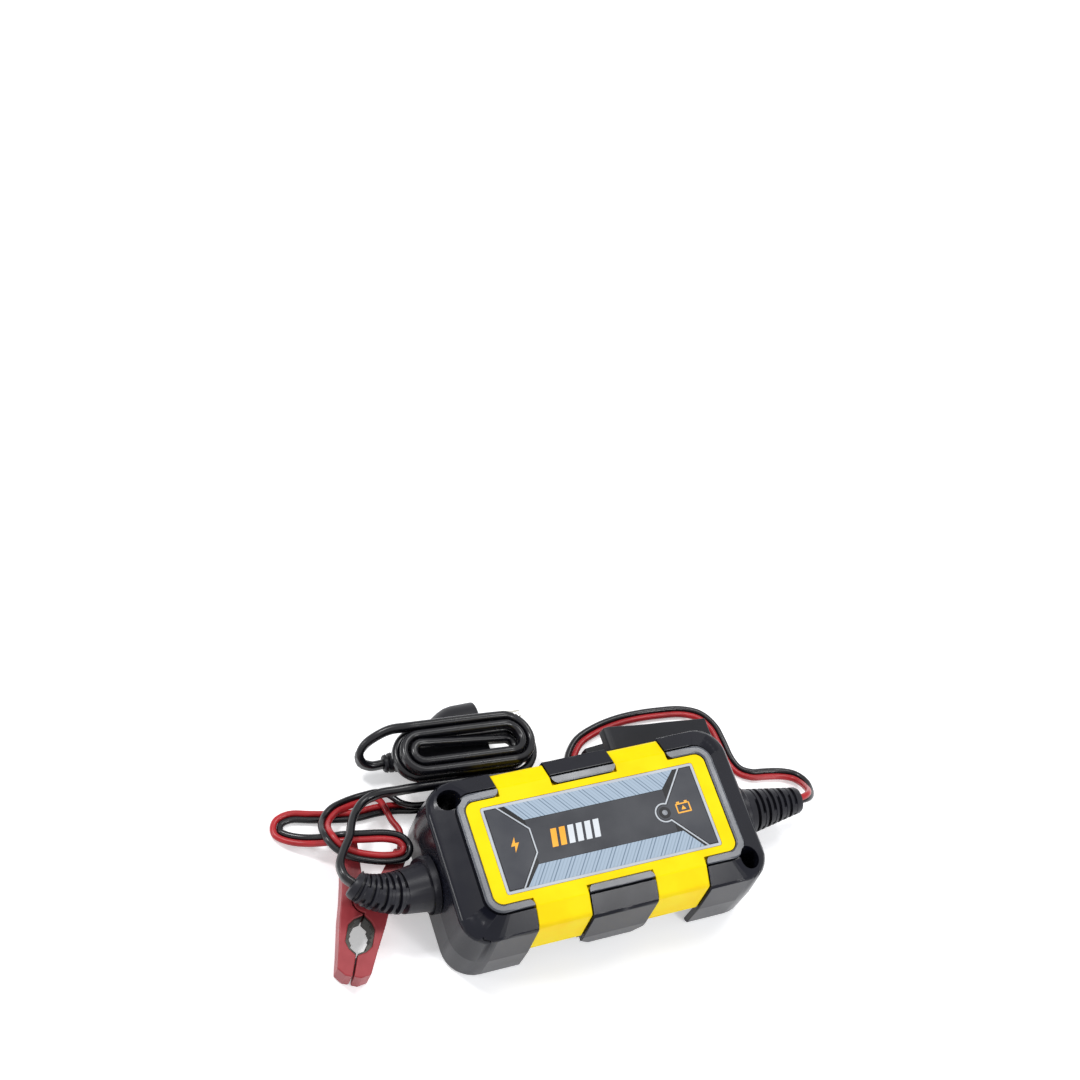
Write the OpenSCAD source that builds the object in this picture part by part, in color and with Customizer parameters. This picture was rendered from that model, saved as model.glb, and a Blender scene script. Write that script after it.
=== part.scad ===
// Small mains charger for 12 V vehicle batteries.
// The case lies on its flat back, with its long axis along X and its label upwards.

/* [Case] */
// Length of the case over its end frames
case_l = 125; // [118:1:140]
// Width of the case over its clips
case_w = 65.4; // [62:0.2:76]
// Height of the yellow label face above the back
face_h = 38; // [36:0.5:46]
// Corner radius of the case in plan
corner_r = 12; // [10:0.5:14]
// Height of the parting line between the two housings
parting_h = 15.8; // [14:0.2:18]
// Wall of the front and rear housings
housing_wall = 2.2; // [1.8:0.1:2.6]
// Wall of the black frame pieces
frame_wall = 2.5; // [2:0.1:3]
// How far the yellow skin lies inside the black one
yellow_set_in = 1; // [0.6:0.1:1.6]
// Gap between frame pieces and housings
frame_gap = 0.3; // [0.2:0.05:0.4]
// Drop from the face to the crease of the end slopes
end_slope_drop = 5.2; // [4:0.1:7]
// Run of the end slopes
end_slope_run = 11; // [8:0.5:12]
// Drop from the face to the crease of the side slopes
side_slope_drop = 3.8; // [3:0.1:5]
// Run of the side slopes
side_slope_run = 7.1; // [5:0.1:8]

/* [Frame] */
// Length of the end frames on the label face
end_frame_l = 13.6; // [13:0.1:15]
// Length of the clips' and claws' tops across the case
side_frame_l = 12.4; // [12:0.1:13]
// Corner radius of the window
window_r = 4; // [3:0.5:5]
// Length of the end frames' claws, from the end of the case
claw_l = 27.9; // [25:0.1:31]
// Half length of the clips
clip_x = 13; // [10:0.5:16]
// Corner radius of claws and clips in plan
claw_r = 2.5; // [1.5:0.5:3]
// Width of the raised ridge round the window
ridge_w = 3; // [2:0.1:3.6]
// Height of the ridge above the face
ridge_h = 0.7; // [0.4:0.1:1.2]
// Width of the groove outside the ridge
groove_w = 0.7; // [0.5:0.1:1]
// Height of the clips' lower edge
clip_foot_h = 8; // [6:0.5:10]

/* [Wall holes] */
// Distance of the wall holes from the ends of the case
wall_hole_in_x = 9.7; // [9:0.1:10.5]
// Distance of the wall holes from the sides of the case
wall_hole_in_y = 9.15; // [8.7:0.05:9.9]
// Radius of the hole for the wall screw's shank
wall_hole_r = 2.25; // [1.8:0.05:2.6]
// Radius of the hole for the wall screw's head
wall_head_r = 4.25; // [3.6:0.05:4.4]
// Height of the seat for the wall screw's head
wall_seat_h = 6; // [3:0.5:9]

/* [Label and indicator] */
// Yellow that shows beyond the label's ends
label_margin_x = 5.7; // [5:0.1:8]
// Yellow that shows beyond the label's sides
label_margin_y = 3.3; // [2.8:0.1:5]
// Thickness of the label
label_t = 0.5; // [0.4:0.1:0.7]
// Place of the indicator along X
led_x = 25.7; // [20:0.1:30]
// Radius of the indicator
led_r = 1.5; // [1.2:0.1:2.5]

/* [Circuit board] */
// Distance of the circuit board from the ends of the case
board_in_x = 18.5; // [18:0.5:20]
// Distance of the circuit board from the sides of the case
board_in_y = 11.7; // [11.2:0.1:13.5]
// Thickness of the circuit board
board_t = 1.6; // [1:0.1:2]
// Height of the board's underside above the back
board_z = 8; // [6:0.5:9]
// Radius of the board screws' shanks
board_screw_r = 1.2; // [1:0.1:1.4]
// Length of the transformer core
core_l = 20; // [16:0.5:22]
// Width of the transformer core
core_w = 11; // [10:0.5:11.5]
// Height of the transformer core
core_h = 16; // [15:0.5:17]
// Radius of the mains capacitor
mains_cap_r = 5; // [4:0.25:5.5]
// Height of the mains capacitor
mains_cap_h = 17; // [14:0.5:19]
// Radius of the output capacitor
output_cap_r = 4; // [3:0.25:5]
// Height of the output capacitor
output_cap_h = 13; // [11:0.5:17]
// Length of the heat sink
sink_l = 24; // [22:0.5:28]
// Height of the heat sink
sink_h = 19; // [18:0.5:20]
// Length of the fuse
fuse_l = 20; // [18:0.5:22]

/* [Case screws] */
// Distance of the case screws from the ends of the case
case_screw_in_x = 12.9; // [12.5:0.1:13.5]
// Distance of the case screws from the sides of the case
case_screw_in_y = 18.2; // [17.7:0.1:19.2]
// Radius of the case screws' shanks
case_screw_r = 1.5; // [1.2:0.1:1.8]
// Length of the case screws under the head
case_screw_l = 20; // [16:0.5:22]

/* [Strain reliefs] */
// Height of the cord openings above the back
relief_z = 17; // [16.5:0.25:18]
// Radius of the strain relief where it passes the wall
relief_neck_r = 7; // [6:0.25:7.5]
// Radius of its outer flange
relief_flange_r = 11; // [9:0.5:12]
// Thickness of its outer flange
relief_flange_t = 3; // [2:0.25:4]
// Radius of its first rib
relief_root_r = 9.5; // [8.5:0.25:10]
// Radius of its last rib
relief_tip_r = 5; // [4.5:0.25:6]
// Number of its ribs
relief_ribs = 7; // [5:1:9]

/* [Plug] */
// Width of the plug's face
plug_w = 35.3; // [34:0.1:36]
// Thickness of the plug
plug_t = 13.7; // [13:0.1:14]
// Length of the plug's body
plug_l = 33; // [30:0.5:36]
// Length of the plug's pins
pin_l = 19; // [17:0.5:20]
// Radius of the plug's pins
pin_r = 2; // [1.8:0.05:2.4]
// Distance between the pins' axes
pin_spacing = 18.6; // [17.5:0.1:19]

/* [Clamps] */
// Distance from hinge to nose
jaw_l = 29.5; // [27:0.5:33]
// Distance from hinge to handle end
handle_l = 22; // [20:0.5:25]
// Half width of the clamp at its hinge
clamp_half_w = 9.2; // [8.5:0.1:10]
// Half width of the clamp across its handles' ends
handle_half_w = 12.4; // [12:0.1:14]
// Thickness of the clamps
clamp_t = 10.5; // [10.2:0.1:11]
// Radius of the hinge pin
hinge_pin_r = 1.5; // [1.2:0.1:1.8]
// Running clearance of the moving half on the pin
hinge_play = 0.05; // [0.03:0.01:0.1]
// Radius of the spring's wire
spring_wire_r = 0.3; // [0.2:0.05:0.35]
// Radius of the spring's curls
spring_r = 3; // [2.8:0.1:3.2]
// Thickness of the toothed plates
tooth_plate_t = 0.7; // [0.5:0.1:0.9]

/* [Hidden] */

YELLOW = "#ffe400";
BLACK = "#2b2c32";
ANTHRACITE = "#474a50";
STEEL = "#c4c8cc";
BOARD_GREEN = "#2f6b45";
RED = "#a84a50";
WIRE_RED = "#c83a38";
CORD_BLACK = "#1a1a1c";
eps = 0.01;

half_l = case_l / 2;
half_w = case_w / 2;
window_x = half_l - end_frame_l;
window_y = half_w - side_frame_l;
claw_x = half_l - claw_l;
wall_hole_x = half_l - wall_hole_in_x;
wall_hole_y = half_w - wall_hole_in_y;
label_l = 2 * (window_x - label_margin_x);
label_w = 2 * (window_y - label_margin_y);
board_l = 2 * (half_l - board_in_x);
board_w = 2 * (half_w - board_in_y);
board_top = board_z + board_t;
case_screw_x = half_l - case_screw_in_x;
case_screw_y = half_w - case_screw_in_y;
edge_r = 1.2;
cover_drop = 1.6;
pocket_side = frame_wall + frame_gap;
pocket_top = cover_drop + frame_gap;
cavity_side = pocket_side + housing_wall;
cavity_top = pocket_top + housing_wall;
tub_h = parting_h - 0.3;
tub_slant = 7.9;
tub_floor = 2.2;

// ---- skins of the case -----------------------------------------------------------------------

// A thin plate of the case's plan, half sizes hx and hy, with corner radius r
module slab(z, hx, hy, r) {
    translate([0, 0, z])
        linear_extrude(eps)
            rounded_2d(hx, hy, max(r, 0.5));
}

// Rounded rectangle of half sizes hx and hy
module rounded_2d(hx, hy, r) {
    square([2 * hx - 2 * r, 2 * hy], center = true);
    square([2 * hx, 2 * hy - 2 * r], center = true);
    for (x = [-1, 1])
        for (y = [-1, 1])
            translate([x * (hx - r), y * (hy - r)])
                circle(r, $fn = 32);
}

// The sloping outer form, set in by side and lowered by top, from height low upwards
module skin(side, top, low) {
    edge = low == 0 ? edge_r : 0;
    hull() {
        slab(low, half_l - side - edge, half_w - side - edge, corner_r - side - edge);
        slab(max(low, edge_r), half_l - side, half_w - side, corner_r - side);
        slab(parting_h, half_l - side, half_w - side, corner_r - side);
        slab(face_h - end_slope_drop - top, half_l - 1 - side, half_w - 1.3 - side, corner_r - 1 - side);
        slab(face_h - side_slope_drop - top, half_l - 1 - side - end_slope_run * 0.27,
            half_w - 1.4 - side, corner_r - 2 - side);
        slab(face_h - eps - top, half_l - 1 - side - end_slope_run, half_w - 1.4 - side - side_slope_run,
            6 - side * 0.5);
    }
}

// Plan of both end frames: everything beyond the window, less the part between the claws
module frame_plan() {
    difference() {
        square([2 * case_l, 2 * case_w], center = true);
        square([2 * claw_x, 2 * case_w], center = true);
        rounded_2d(window_x, window_y, window_r);
        for (x = [-1, 1])
            for (y = [-1, 1])
                scale([x, y])
                    translate([claw_x, window_y])
                        corner_cut(claw_r);
    }
}

// What a convex corner of radius r at the origin loses, for a form in the first quadrant
module corner_cut(r) {
    difference() {
        translate([-eps, -eps])
            square(r + eps);
        translate([r, r])
            circle(r, $fn = 32);
    }
}

// Plan of both clips
module clip_plan() {
    for (y = [-1, 1])
        scale([1, y])
            difference() {
                translate([-clip_x, window_y])
                    square([2 * clip_x, case_w]);
                for (x = [-1, 1])
                    scale([x, 1])
                        translate([-clip_x, window_y])
                            corner_cut(claw_r);
            }
}

// The shell that all frame pieces are cut from, with its ridge and groove round the window
module frame_shell() {
    difference() {
        union() {
            skin(0, 0, 0);
            hull() {
                slab(face_h - 3, window_x + ridge_w + 0.1, window_y + ridge_w + 0.1, window_r + 2.6);
                slab(face_h + ridge_h - 0.4, window_x + ridge_w, window_y + ridge_w, window_r + 2.5);
                slab(face_h + ridge_h - eps, window_x + ridge_w - 0.4, window_y + ridge_w - 0.4, window_r + 2.1);
            }
        }
        skin(frame_wall, cover_drop, -1);
        groove();
        hull() {
            slab(face_h + ridge_h - 0.4, window_x, window_y, window_r);
            slab(face_h + ridge_h, window_x + 0.4, window_y + 0.4, window_r + 0.4);
        }
    }
}

// The narrow channel that runs round outside the ridge
module groove() {
    translate([0, 0, face_h - 1.5])
        linear_extrude(4)
            difference() {
                rounded_2d(window_x + ridge_w + groove_w, window_y + ridge_w + groove_w, window_r + 3.2);
                rounded_2d(window_x + ridge_w, window_y + ridge_w, window_r + 2.5);
            }
}

// Straight cylinder along X from x, centred on the cord opening's height
module cord_cylinder(x, l, r) {
    translate([x, 0, relief_z])
        rotate([0, 90, 0])
            cylinder(h = l, r = r, $fn = 48);
}

// One end frame; side is -1 on the left and 1 on the right
module end_bumper(side) {
    color(BLACK)
        difference() {
            intersection() {
                frame_shell();
                linear_extrude(face_h + 5)
                    intersection() {
                        frame_plan();
                        translate([side * case_l / 2, 0])
                            square([case_l, 2 * case_w], center = true);
                    }
            }
            cord_cylinder(side > 0 ? half_l - 10 : -half_l - 1, 11, relief_neck_r + frame_gap);
            at_wall_hole(side)
                cylinder(h = face_h + 5, r = wall_head_r, $fn = 48);
        }
}

module at_wall_hole(side) {
    translate([side * wall_hole_x, -side * wall_hole_y, -1])
        children();
}

module end_bumper_left() {
    end_bumper(-1);
}

module end_bumper_right() {
    end_bumper(1);
}

// One clip; side is -1 at the front and 1 at the rear
module clip(side) {
    color(BLACK)
        intersection() {
            frame_shell();
            linear_extrude(face_h + 5)
                intersection() {
                    clip_plan();
                    translate([0, side * case_w])
                        square([case_l, 2 * case_w], center = true);
                }
            translate([0, 2 * case_w, 0])
                rotate([90, 0, 0])
                    linear_extrude(4 * case_w)
                        clip_front_outline();
        }
}

// Outline of a clip seen from the side, with its lower corners cut at 45 degrees
module clip_front_outline() {
    cut = 4;
    polygon([
        [-clip_x, face_h + 3], [-clip_x, clip_foot_h + cut], [cut - clip_x, clip_foot_h],
        [clip_x - cut, clip_foot_h], [clip_x, clip_foot_h + cut], [clip_x, face_h + 3]
    ]);
}

module clip_front() {
    clip(-1);
}

module clip_rear() {
    clip(1);
}

// ---- housings --------------------------------------------------------------------------------

module front_housing() {
    color(YELLOW)
        difference() {
            union() {
                intersection() {
                    skin(yellow_set_in, 0, parting_h);
                    translate([0, 0, parting_h])
                        linear_extrude(face_h)
                            yellow_plan();
                }
                skin(pocket_side, pocket_top, parting_h);
            }
            difference() {
                skin(cavity_side, cavity_top, parting_h - 1);
                front_bosses();
            }
            label_recess();
            translate([led_x, 0, parting_h])
                cylinder(h = face_h, r = led_r + 0.1, $fn = 32);
            cord_cylinder(-case_l, 2 * case_l, relief_neck_r + frame_gap);
            for (side = [-1, 1])
                at_wall_hole(side)
                    cylinder(h = face_h + 5, r = wall_head_r, $fn = 48);
            at_case_screws()
                translate([0, 0, parting_h - 1])
                    cylinder(h = case_screw_tip() - parting_h + 1, r = case_screw_r, $fn = 24);
        }
}

// Plan of the yellow that shows: the window and the stretches between claws and clips
module yellow_plan() {
    difference() {
        union() {
            rounded_2d(window_x - frame_gap, window_y - frame_gap, window_r - frame_gap);
            square([2 * (claw_x - frame_gap), 2 * case_w], center = true);
        }
        difference() {
            square([2 * (clip_x + frame_gap), 3 * case_w], center = true);
            square([3 * clip_x, 2 * (window_y - frame_gap)], center = true);
        }
    }
}

module label_recess() {
    translate([0, 0, face_h - label_t - 0.1])
        linear_extrude(3)
            rounded_2d(label_l / 2 + 0.2, label_w / 2 + 0.2, 1.2);
}

// Columns inside the front housing for the case screws and round the wall holes
module front_bosses() {
    at_case_screws()
        translate([0, 0, parting_h])
            cylinder(h = face_h, r = case_screw_r + 2.2, $fn = 32);
    for (side = [-1, 1])
        at_wall_hole(side)
            translate([0, 0, parting_h + 1])
                cylinder(h = face_h, r = wall_head_r + 0.95, $fn = 48);
}

module at_case_screws() {
    for (x = [-1, 1])
        for (y = [-1, 1])
            translate([x * case_screw_x, y * case_screw_y, 0])
                children();
}

function case_screw_seat() = 5;
function case_screw_tip() = case_screw_seat() + case_screw_l;

module rear_housing() {
    color(BLACK)
        difference() {
            union() {
                difference() {
                    hull() {
                        slab(0, half_l - pocket_side - 0.6, half_w - pocket_side - tub_slant, 7);
                        slab(tub_h - eps, half_l - pocket_side, half_w - pocket_side, corner_r - pocket_side);
                    }
                    hull() {
                        slab(tub_floor, half_l - cavity_side, half_w - cavity_side - tub_slant + 1, 5);
                        slab(tub_h, half_l - cavity_side, half_w - cavity_side, corner_r - cavity_side);
                    }
                }
                tub_columns();
            }
            cord_cylinder(-case_l, 2 * case_l, relief_neck_r + frame_gap);
            for (side = [-1, 1])
                at_wall_hole(side) {
                    cylinder(h = parting_h, r = wall_hole_r, $fn = 32);
                    translate([0, 0, wall_seat_h + 1])
                        cylinder(h = parting_h, r = wall_head_r, $fn = 48);
                }
            at_case_screws() {
                translate([0, 0, -1])
                    cylinder(h = parting_h + 1, r = case_screw_r + 0.3, $fn = 24);
                translate([0, 0, -1])
                    cylinder(h = case_screw_seat() + 1, r = case_screw_r + 1.6, $fn = 32);
            }
            at_board_screws()
                translate([0, 0, tub_floor])
                    cylinder(h = board_z, r = board_screw_r, $fn = 24);
        }
}

// Everything that stands in the rear tub: screw columns, wall columns, board posts, clip pads
module tub_columns() {
    at_case_screws()
        cylinder(h = tub_h, r = case_screw_r + 2.9, $fn = 32);
    for (side = [-1, 1])
        at_wall_hole(side)
            translate([0, 0, 1])
                cylinder(h = tub_h, r = wall_head_r + 0.95, $fn = 48);
    at_board_screws()
        cylinder(h = board_z, r = board_screw_r + 1.8, $fn = 32);
    for (y = [-1, 1])
        translate([-clip_x + frame_gap, y > 0 ? half_w - pocket_side - 4 : pocket_side - half_w, clip_foot_h])
            cube([2 * (clip_x - frame_gap), 4, tub_h - clip_foot_h]);
}

module at_board_screws() {
    for (x = [-1, 1])
        for (y = [-1, 1])
            translate([x * (board_l / 2 - 4), y * (board_w / 2 - 3), 0])
                children();
}

module label_plate() {
    color(ANTHRACITE)
        translate([0, 0, face_h - label_t - 0.1])
            linear_extrude(label_t)
                difference() {
                    rounded_2d(label_l / 2, label_w / 2, 1);
                    translate([led_x, 0])
                        circle(led_r + 0.1, $fn = 32);
                }
}

// Light guide with a domed top and a flange under the front wall
module led_lens() {
    ceiling = face_h - cavity_top;
    color("#8b8f94")
        translate([led_x, 0, 0])
            rotate_extrude($fn = 32)
                polygon([
                    [0, ceiling - 1], [led_r + 0.8, ceiling - 1], [led_r + 0.8, ceiling], [led_r, ceiling],
                    [led_r, face_h - 0.1], [led_r * 0.6, face_h + 0.15], [0, face_h + 0.25]
                ]);
}

// ---- inside ----------------------------------------------------------------------------------

module circuit_board() {
    color(BOARD_GREEN)
        difference() {
            translate([0, 0, board_z])
                linear_extrude(board_t)
                    rounded_2d(board_l / 2, board_w / 2, 1.5);
            at_board_screws()
                cylinder(h = 3 * board_z, r = board_screw_r + 0.2, $fn = 24);
        }
}

module board_screws() {
    color(STEEL)
        at_board_screws()
            screw(board_top, board_screw_r, 6.4, board_screw_r + 1.1, 1.2);
}

// Screw with its head standing on height z and its shank pointing down
module screw(z, r, l, head_r, head_t) {
    translate([0, 0, z - l])
        cylinder(h = l + eps, r = r, $fn = 24);
    translate([0, 0, z])
        cylinder(h = head_t, r = head_r, $fn = 32);
}

module case_screws() {
    color(STEEL)
        at_case_screws()
            translate([0, 0, case_screw_seat()])
                rotate([180, 0, 0])
                    screw(0, case_screw_r, case_screw_l, case_screw_r + 1.3, 2);
}

// Ferrite core with two windows beside its middle limb
module transformer_core() {
    color("#5a5d62")
        translate([core_x, 0, board_top])
            difference() {
                translate([-core_l / 2, -core_w / 2, 0])
                    cube([core_l, core_w, core_h]);
                for (x = [-1, 1])
                    translate([x * core_window_x(), 0, core_h / 2])
                        cube([core_window_l(), 2 * core_w, core_h - 2 * yoke_t], center = true);
            }
}

core_x = -5;
limb_w = 5;
yoke_t = 3;
function core_window_l() = (core_l - limb_w) / 2 - yoke_t;
function core_window_x() = (limb_w + core_window_l()) / 2;

module transformer_winding() {
    color("#c9a13b")
        translate([core_x, 0, board_top + yoke_t])
            linear_extrude(core_h - 2 * yoke_t - 0.2)
                difference() {
                    rounded_2d(limb_w / 2 + core_window_l() - 0.2, core_w / 2 + 3.5, 2);
                    square([limb_w + 0.4, core_w + 0.4], center = true);
                }
}

// Upright can with a bead near its foot; it stands on the board
module capacitor(x, y, r, h) {
    translate([x, y, board_top])
        rotate_extrude($fn = 40)
            polygon([[0, 0], [r, 0], [r, 1.6], [r - 0.4, 2], [r, 2.4], [r, h - 0.4], [r - 0.4, h], [0, h]]);
}

module mains_capacitor() {
    color("#35404f")
        capacitor(-30, 8, mains_cap_r, mains_cap_h);
}

module output_capacitor() {
    color("#2d4f7a")
        capacitor(26, -9, output_cap_r, output_cap_h);
}

module bridge_rectifier() {
    color(BLACK)
        translate([-33, -8, board_top])
            difference() {
                linear_extrude(3.2)
                    rounded_2d(4.4, 3.3, 0.5);
                translate([-4.4, 0, 2.6])
                    cylinder(h = 2, r = 0.8, $fn = 20);
            }
}

sink_x = 14;
sink_y = 13;
sink_t = 2;
fin_t = 1.2;
fins = 6;

module heat_sink() {
    color(STEEL)
        translate([sink_x, sink_y, board_top])
            linear_extrude(sink_h) {
                square([sink_l, sink_t], center = true);
                for (i = [0:fins - 1])
                    translate([-sink_l / 2 + i * (sink_l - fin_t) / (fins - 1), sink_t / 2 - eps])
                        square([fin_t, 4]);
            }
}

// Tab, body and three legs, against the face of the heat sink
module power_transistor() {
    color(BLACK)
        translate([sink_x, sink_y - sink_t / 2, board_top])
            union() {
                translate([-5, -1.3, 3])
                    cube([10, 1.3, 15]);
                translate([-5, -4.4, 3])
                    cube([10, 3.2, 9]);
                for (x = [-2.5, 0, 2.5])
                    translate([x - 0.4, -3, 0])
                        cube([0.8, 0.6, 3.1]);
            }
}

module fuse() {
    color("#c8ccd0")
        translate([-12, -16, board_top + 3.6])
            union() {
                rotate([0, 90, 0])
                    cylinder(h = fuse_l, r = 2.3, center = true, $fn = 32);
                for (x = [-1, 1])
                    translate([x * (fuse_l / 2 - 2.4), 0, 0]) {
                        rotate([0, 90, 0])
                            cylinder(h = 5, r = 2.6, center = true, $fn = 32);
                        translate([-1.5, -3, -3.6])
                            cube([3, 6, 3.6]);
                    }
            }
}

// ---- tubes -----------------------------------------------------------------------------------

function unit(v) = v / norm(v);
function xyz(p) = [p[0], p[1], p[2]];
function roll_of(p) = len(p) > 3 ? p[3] : 0;
function pick(v, i) = is_list(v) ? v[i] : v;
function tangent(p, i) = unit(xyz(p[min(i + 1, len(p) - 1)]) - xyz(p[max(i - 1, 0)]));

// One ring of a tube, square to the route at point i, turned by that point's roll
function ring(p, i, w, h, sides) =
    let (t = tangent(p, i), across = unit(cross([0, 0, 1], t)), up = cross(t, across), roll = roll_of(p[i]))
    [for (k = [0:sides - 1])
        let (a = 360 * (k + 0.5) / sides, x = pick(w, i) / 2 * cos(a), y = pick(h, i) / 2 * sin(a))
        xyz(p[i]) + across * (x * cos(roll) - y * sin(roll)) + up * (x * sin(roll) + y * cos(roll))];

// Closed tube along the route p, w wide and h high, with triangular faces
module tube(p, w, h, sides) {
    n = len(p);
    last = (n - 1) * sides;
    walls = [for (i = [0:n - 2]) for (k = [0:sides - 1])
        let (a = i * sides + k, b = i * sides + (k + 1) % sides, c = b + sides, d = a + sides)
        each [[a, d, c], [a, c, b]]];
    caps = [for (k = [1:sides - 2]) each [[0, k, k + 1], [last, last + k + 1, last + k]]];
    polyhedron([for (i = [0:n - 1]) each ring(p, i, w, h, sides)], concat(walls, caps), convexity = 10);
}

// ---- strain reliefs --------------------------------------------------------------------------

function bezier(a, b, c, d, t) =
    a * pow(1 - t, 3) + 3 * b * t * pow(1 - t, 2) + 3 * c * t * t * (1 - t) + d * pow(t, 3);
left_relief_start = [-half_l - 2, 0, relief_z];
left_relief_tip = [-half_l - 30, 5, relief_z + 6];
right_relief_start = [half_l + 2, 0, relief_z];
right_relief_tip = [half_l + 28.5, 0, relief_z];
function relief_route(side, t) = side > 0
    ? right_relief_start + (right_relief_tip - right_relief_start) * t
    : bezier(left_relief_start, left_relief_start + [-13, -2, 1.4], left_relief_tip + [4.6, -5.4, -0.8],
        left_relief_tip, t);
// Each rib is a groove followed by a full ring: place along the route and share of the radius
rib_steps = [[0.02, 0.74], [0.3, 0.74], [0.34, 1], [0.98, 1]];
rib_places = [for (i = [0:relief_ribs - 1]) for (s = rib_steps) [(i + s[0]) / relief_ribs, s[1]]];

module strain_relief(side) {
    inner_face = half_l - cavity_side - 1;
    color(BLACK)
        union() {
            tube([for (s = rib_places) relief_route(side, s[0])],
                [for (s = rib_places) 2 * s[1] * (relief_root_r + (relief_tip_r - relief_root_r) * s[0])],
                [for (s = rib_places) 2 * s[1] * (relief_root_r + (relief_tip_r - relief_root_r) * s[0])], 16);
            mirror([side > 0 ? 0 : 1, 0, 0]) {
                cord_cylinder(half_l, relief_flange_t, relief_flange_r);
                cord_cylinder(inner_face - 2, half_l - inner_face + 2 + eps, relief_neck_r);
                cord_cylinder(inner_face - 2, 2, relief_neck_r + 2.5);
            }
        }
}

module strain_relief_left() {
    strain_relief(-1);
}

module strain_relief_right() {
    strain_relief(1);
}

// ---- mains cord ------------------------------------------------------------------------------

mains_t = 3.2;
mains_h = 4.8;
hank_turns_in = 2.5;
hank_turns_out = 2;
hank_rings = 24;
hank_r = 12.2;
hank_pitch = 3.7;
hank_layer = 5.5;
hank_left = [-52, 50];
hank_right = [-18, 47.5];
hank_base = 14.2;
hank_turn = atan2(hank_right[1] - hank_left[1], hank_right[0] - hank_left[0]);
hank_half = hank_turns_in * hank_rings;
hank_last = hank_half + hank_turns_out * hank_rings + 1;

// Radius at ring m: it falls to the middle of the hank and grows again
function hank_radius(m) = hank_r - hank_pitch * (m <= hank_half ? m : 2 * hank_half + 1 - m) / hank_rings;
// Half circle that ring m lies on: 0 on the left before the first run, then right, left, right...
function hank_bend(m) = m == 0 ? 0 : 1 + floor((m - 1) / (hank_rings / 2));
function hank_angle(m) = m == 0
    ? -90
    : 180 * (hank_bend(m) - 1) - 90 + 180 * ((m - 1) % (hank_rings / 2)) / (hank_rings / 2 - 1);
function hank_height(x) = hank_base - 3 * max(0, (x - hank_right[0]) / hank_r);
function hank_point(m) =
    let (centre = hank_bend(m) % 2 == 1 ? hank_right : hank_left, a = hank_angle(m) + hank_turn,
        x = centre[0] + hank_radius(m) * cos(a), y = centre[1] + hank_radius(m) * sin(a))
    [x, y, hank_height(x) + mains_h / 2 + (m > hank_half ? hank_layer : 0)];
hank_route = [for (m = [0:hank_last]) hank_point(m)];

// Least gap between the rings of different turns, beside or above each other
hank_gap = min([for (i = [0:hank_last - 18]) for (j = [i + 18:hank_last])
    let (d = hank_route[j] - hank_route[i])
    norm(d) - norm([mains_t * norm([d[0], d[1]]), mains_h * d[2]]) / norm(d)]);
echo(least_gap_in_hank = hank_gap);

mains_start_route = concat([
    left_relief_tip, left_relief_tip + [-2.3, 2.7, 0.4],
    [-95, 13, 22.4], [-91.8, 18.6, 20], [-87.4, 24.6, 17.6], [-84.6, 30.3, 15], [-81.4, 35, 13],
    [-76.8, 38.8, 12.2], [-70.6, 40.2, 12.8], [-64, 39.2, 14.6]
], [hank_point(0) + [-4.4, 0.3, 0], hank_point(0)]);

plug_face_x = -23;
plug_y = 53.9;
boot_l = 8;
boot_x = plug_face_x - plug_l - boot_l;
mains_end_route = concat([hank_point(hank_last), hank_point(hank_last) + [-4.4, 0.3, 0]], [
    [-61.5, 61.4, 21], [-66.8, 60.8, 19], [-71.2, 59.6, 15.6], [-73.3, 57.6, 12], [-72.4, 55.4, 8.6],
    [-69, 54.1, 6.95]
], [[boot_x - 3, plug_y, plug_t / 2], [boot_x, plug_y, plug_t / 2]]);

module mains_cord_start() {
    color(CORD_BLACK)
        tube(mains_start_route, mains_t, mains_h, 8);
}

module mains_cord_hank() {
    color(CORD_BLACK)
        tube(hank_route, mains_t, mains_h, 6);
}

module mains_cord_end() {
    color(CORD_BLACK)
        tube(mains_end_route, mains_t, mains_h, 8);
}

// Flat two-pin plug, lying on its broad side with its pins along +X
module plug_body() {
    color(BLACK)
        translate([plug_face_x, plug_y, plug_t / 2])
            rotate([90, 0, -90]) {
                hull() {
                    slab(0, plug_w / 2, plug_t / 2, plug_t / 2 - 0.1);
                    slab(plug_l * 0.3, plug_w / 2, plug_t / 2, plug_t / 2 - 0.1);
                    slab(plug_l * 0.7, plug_w * 0.36, plug_t / 2 - 0.4, plug_t / 2 - 0.5);
                    slab(plug_l - eps, plug_w * 0.18, plug_t / 2 - 1.6, plug_t / 2 - 1.7);
                }
                translate([0, 0, plug_l - eps])
                    cylinder(h = boot_l + eps, r1 = 4.4, r2 = 3.2, $fn = 32);
            }
}

module plug_pins() {
    color(STEEL)
        for (y = [-1, 1])
            translate([plug_face_x, plug_y + y * pin_spacing / 2, plug_t / 2])
                rotate([0, 90, 0])
                    rotate_extrude($fn = 32)
                        polygon([[0, 0], [pin_r, 0], [pin_r, pin_l - 1], [pin_r - 1, pin_l], [0, pin_l]]);
}

// ---- battery lead ----------------------------------------------------------------------------

lead_w = 5;
lead_t = 2.6;
core_d = 2.5;

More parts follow.
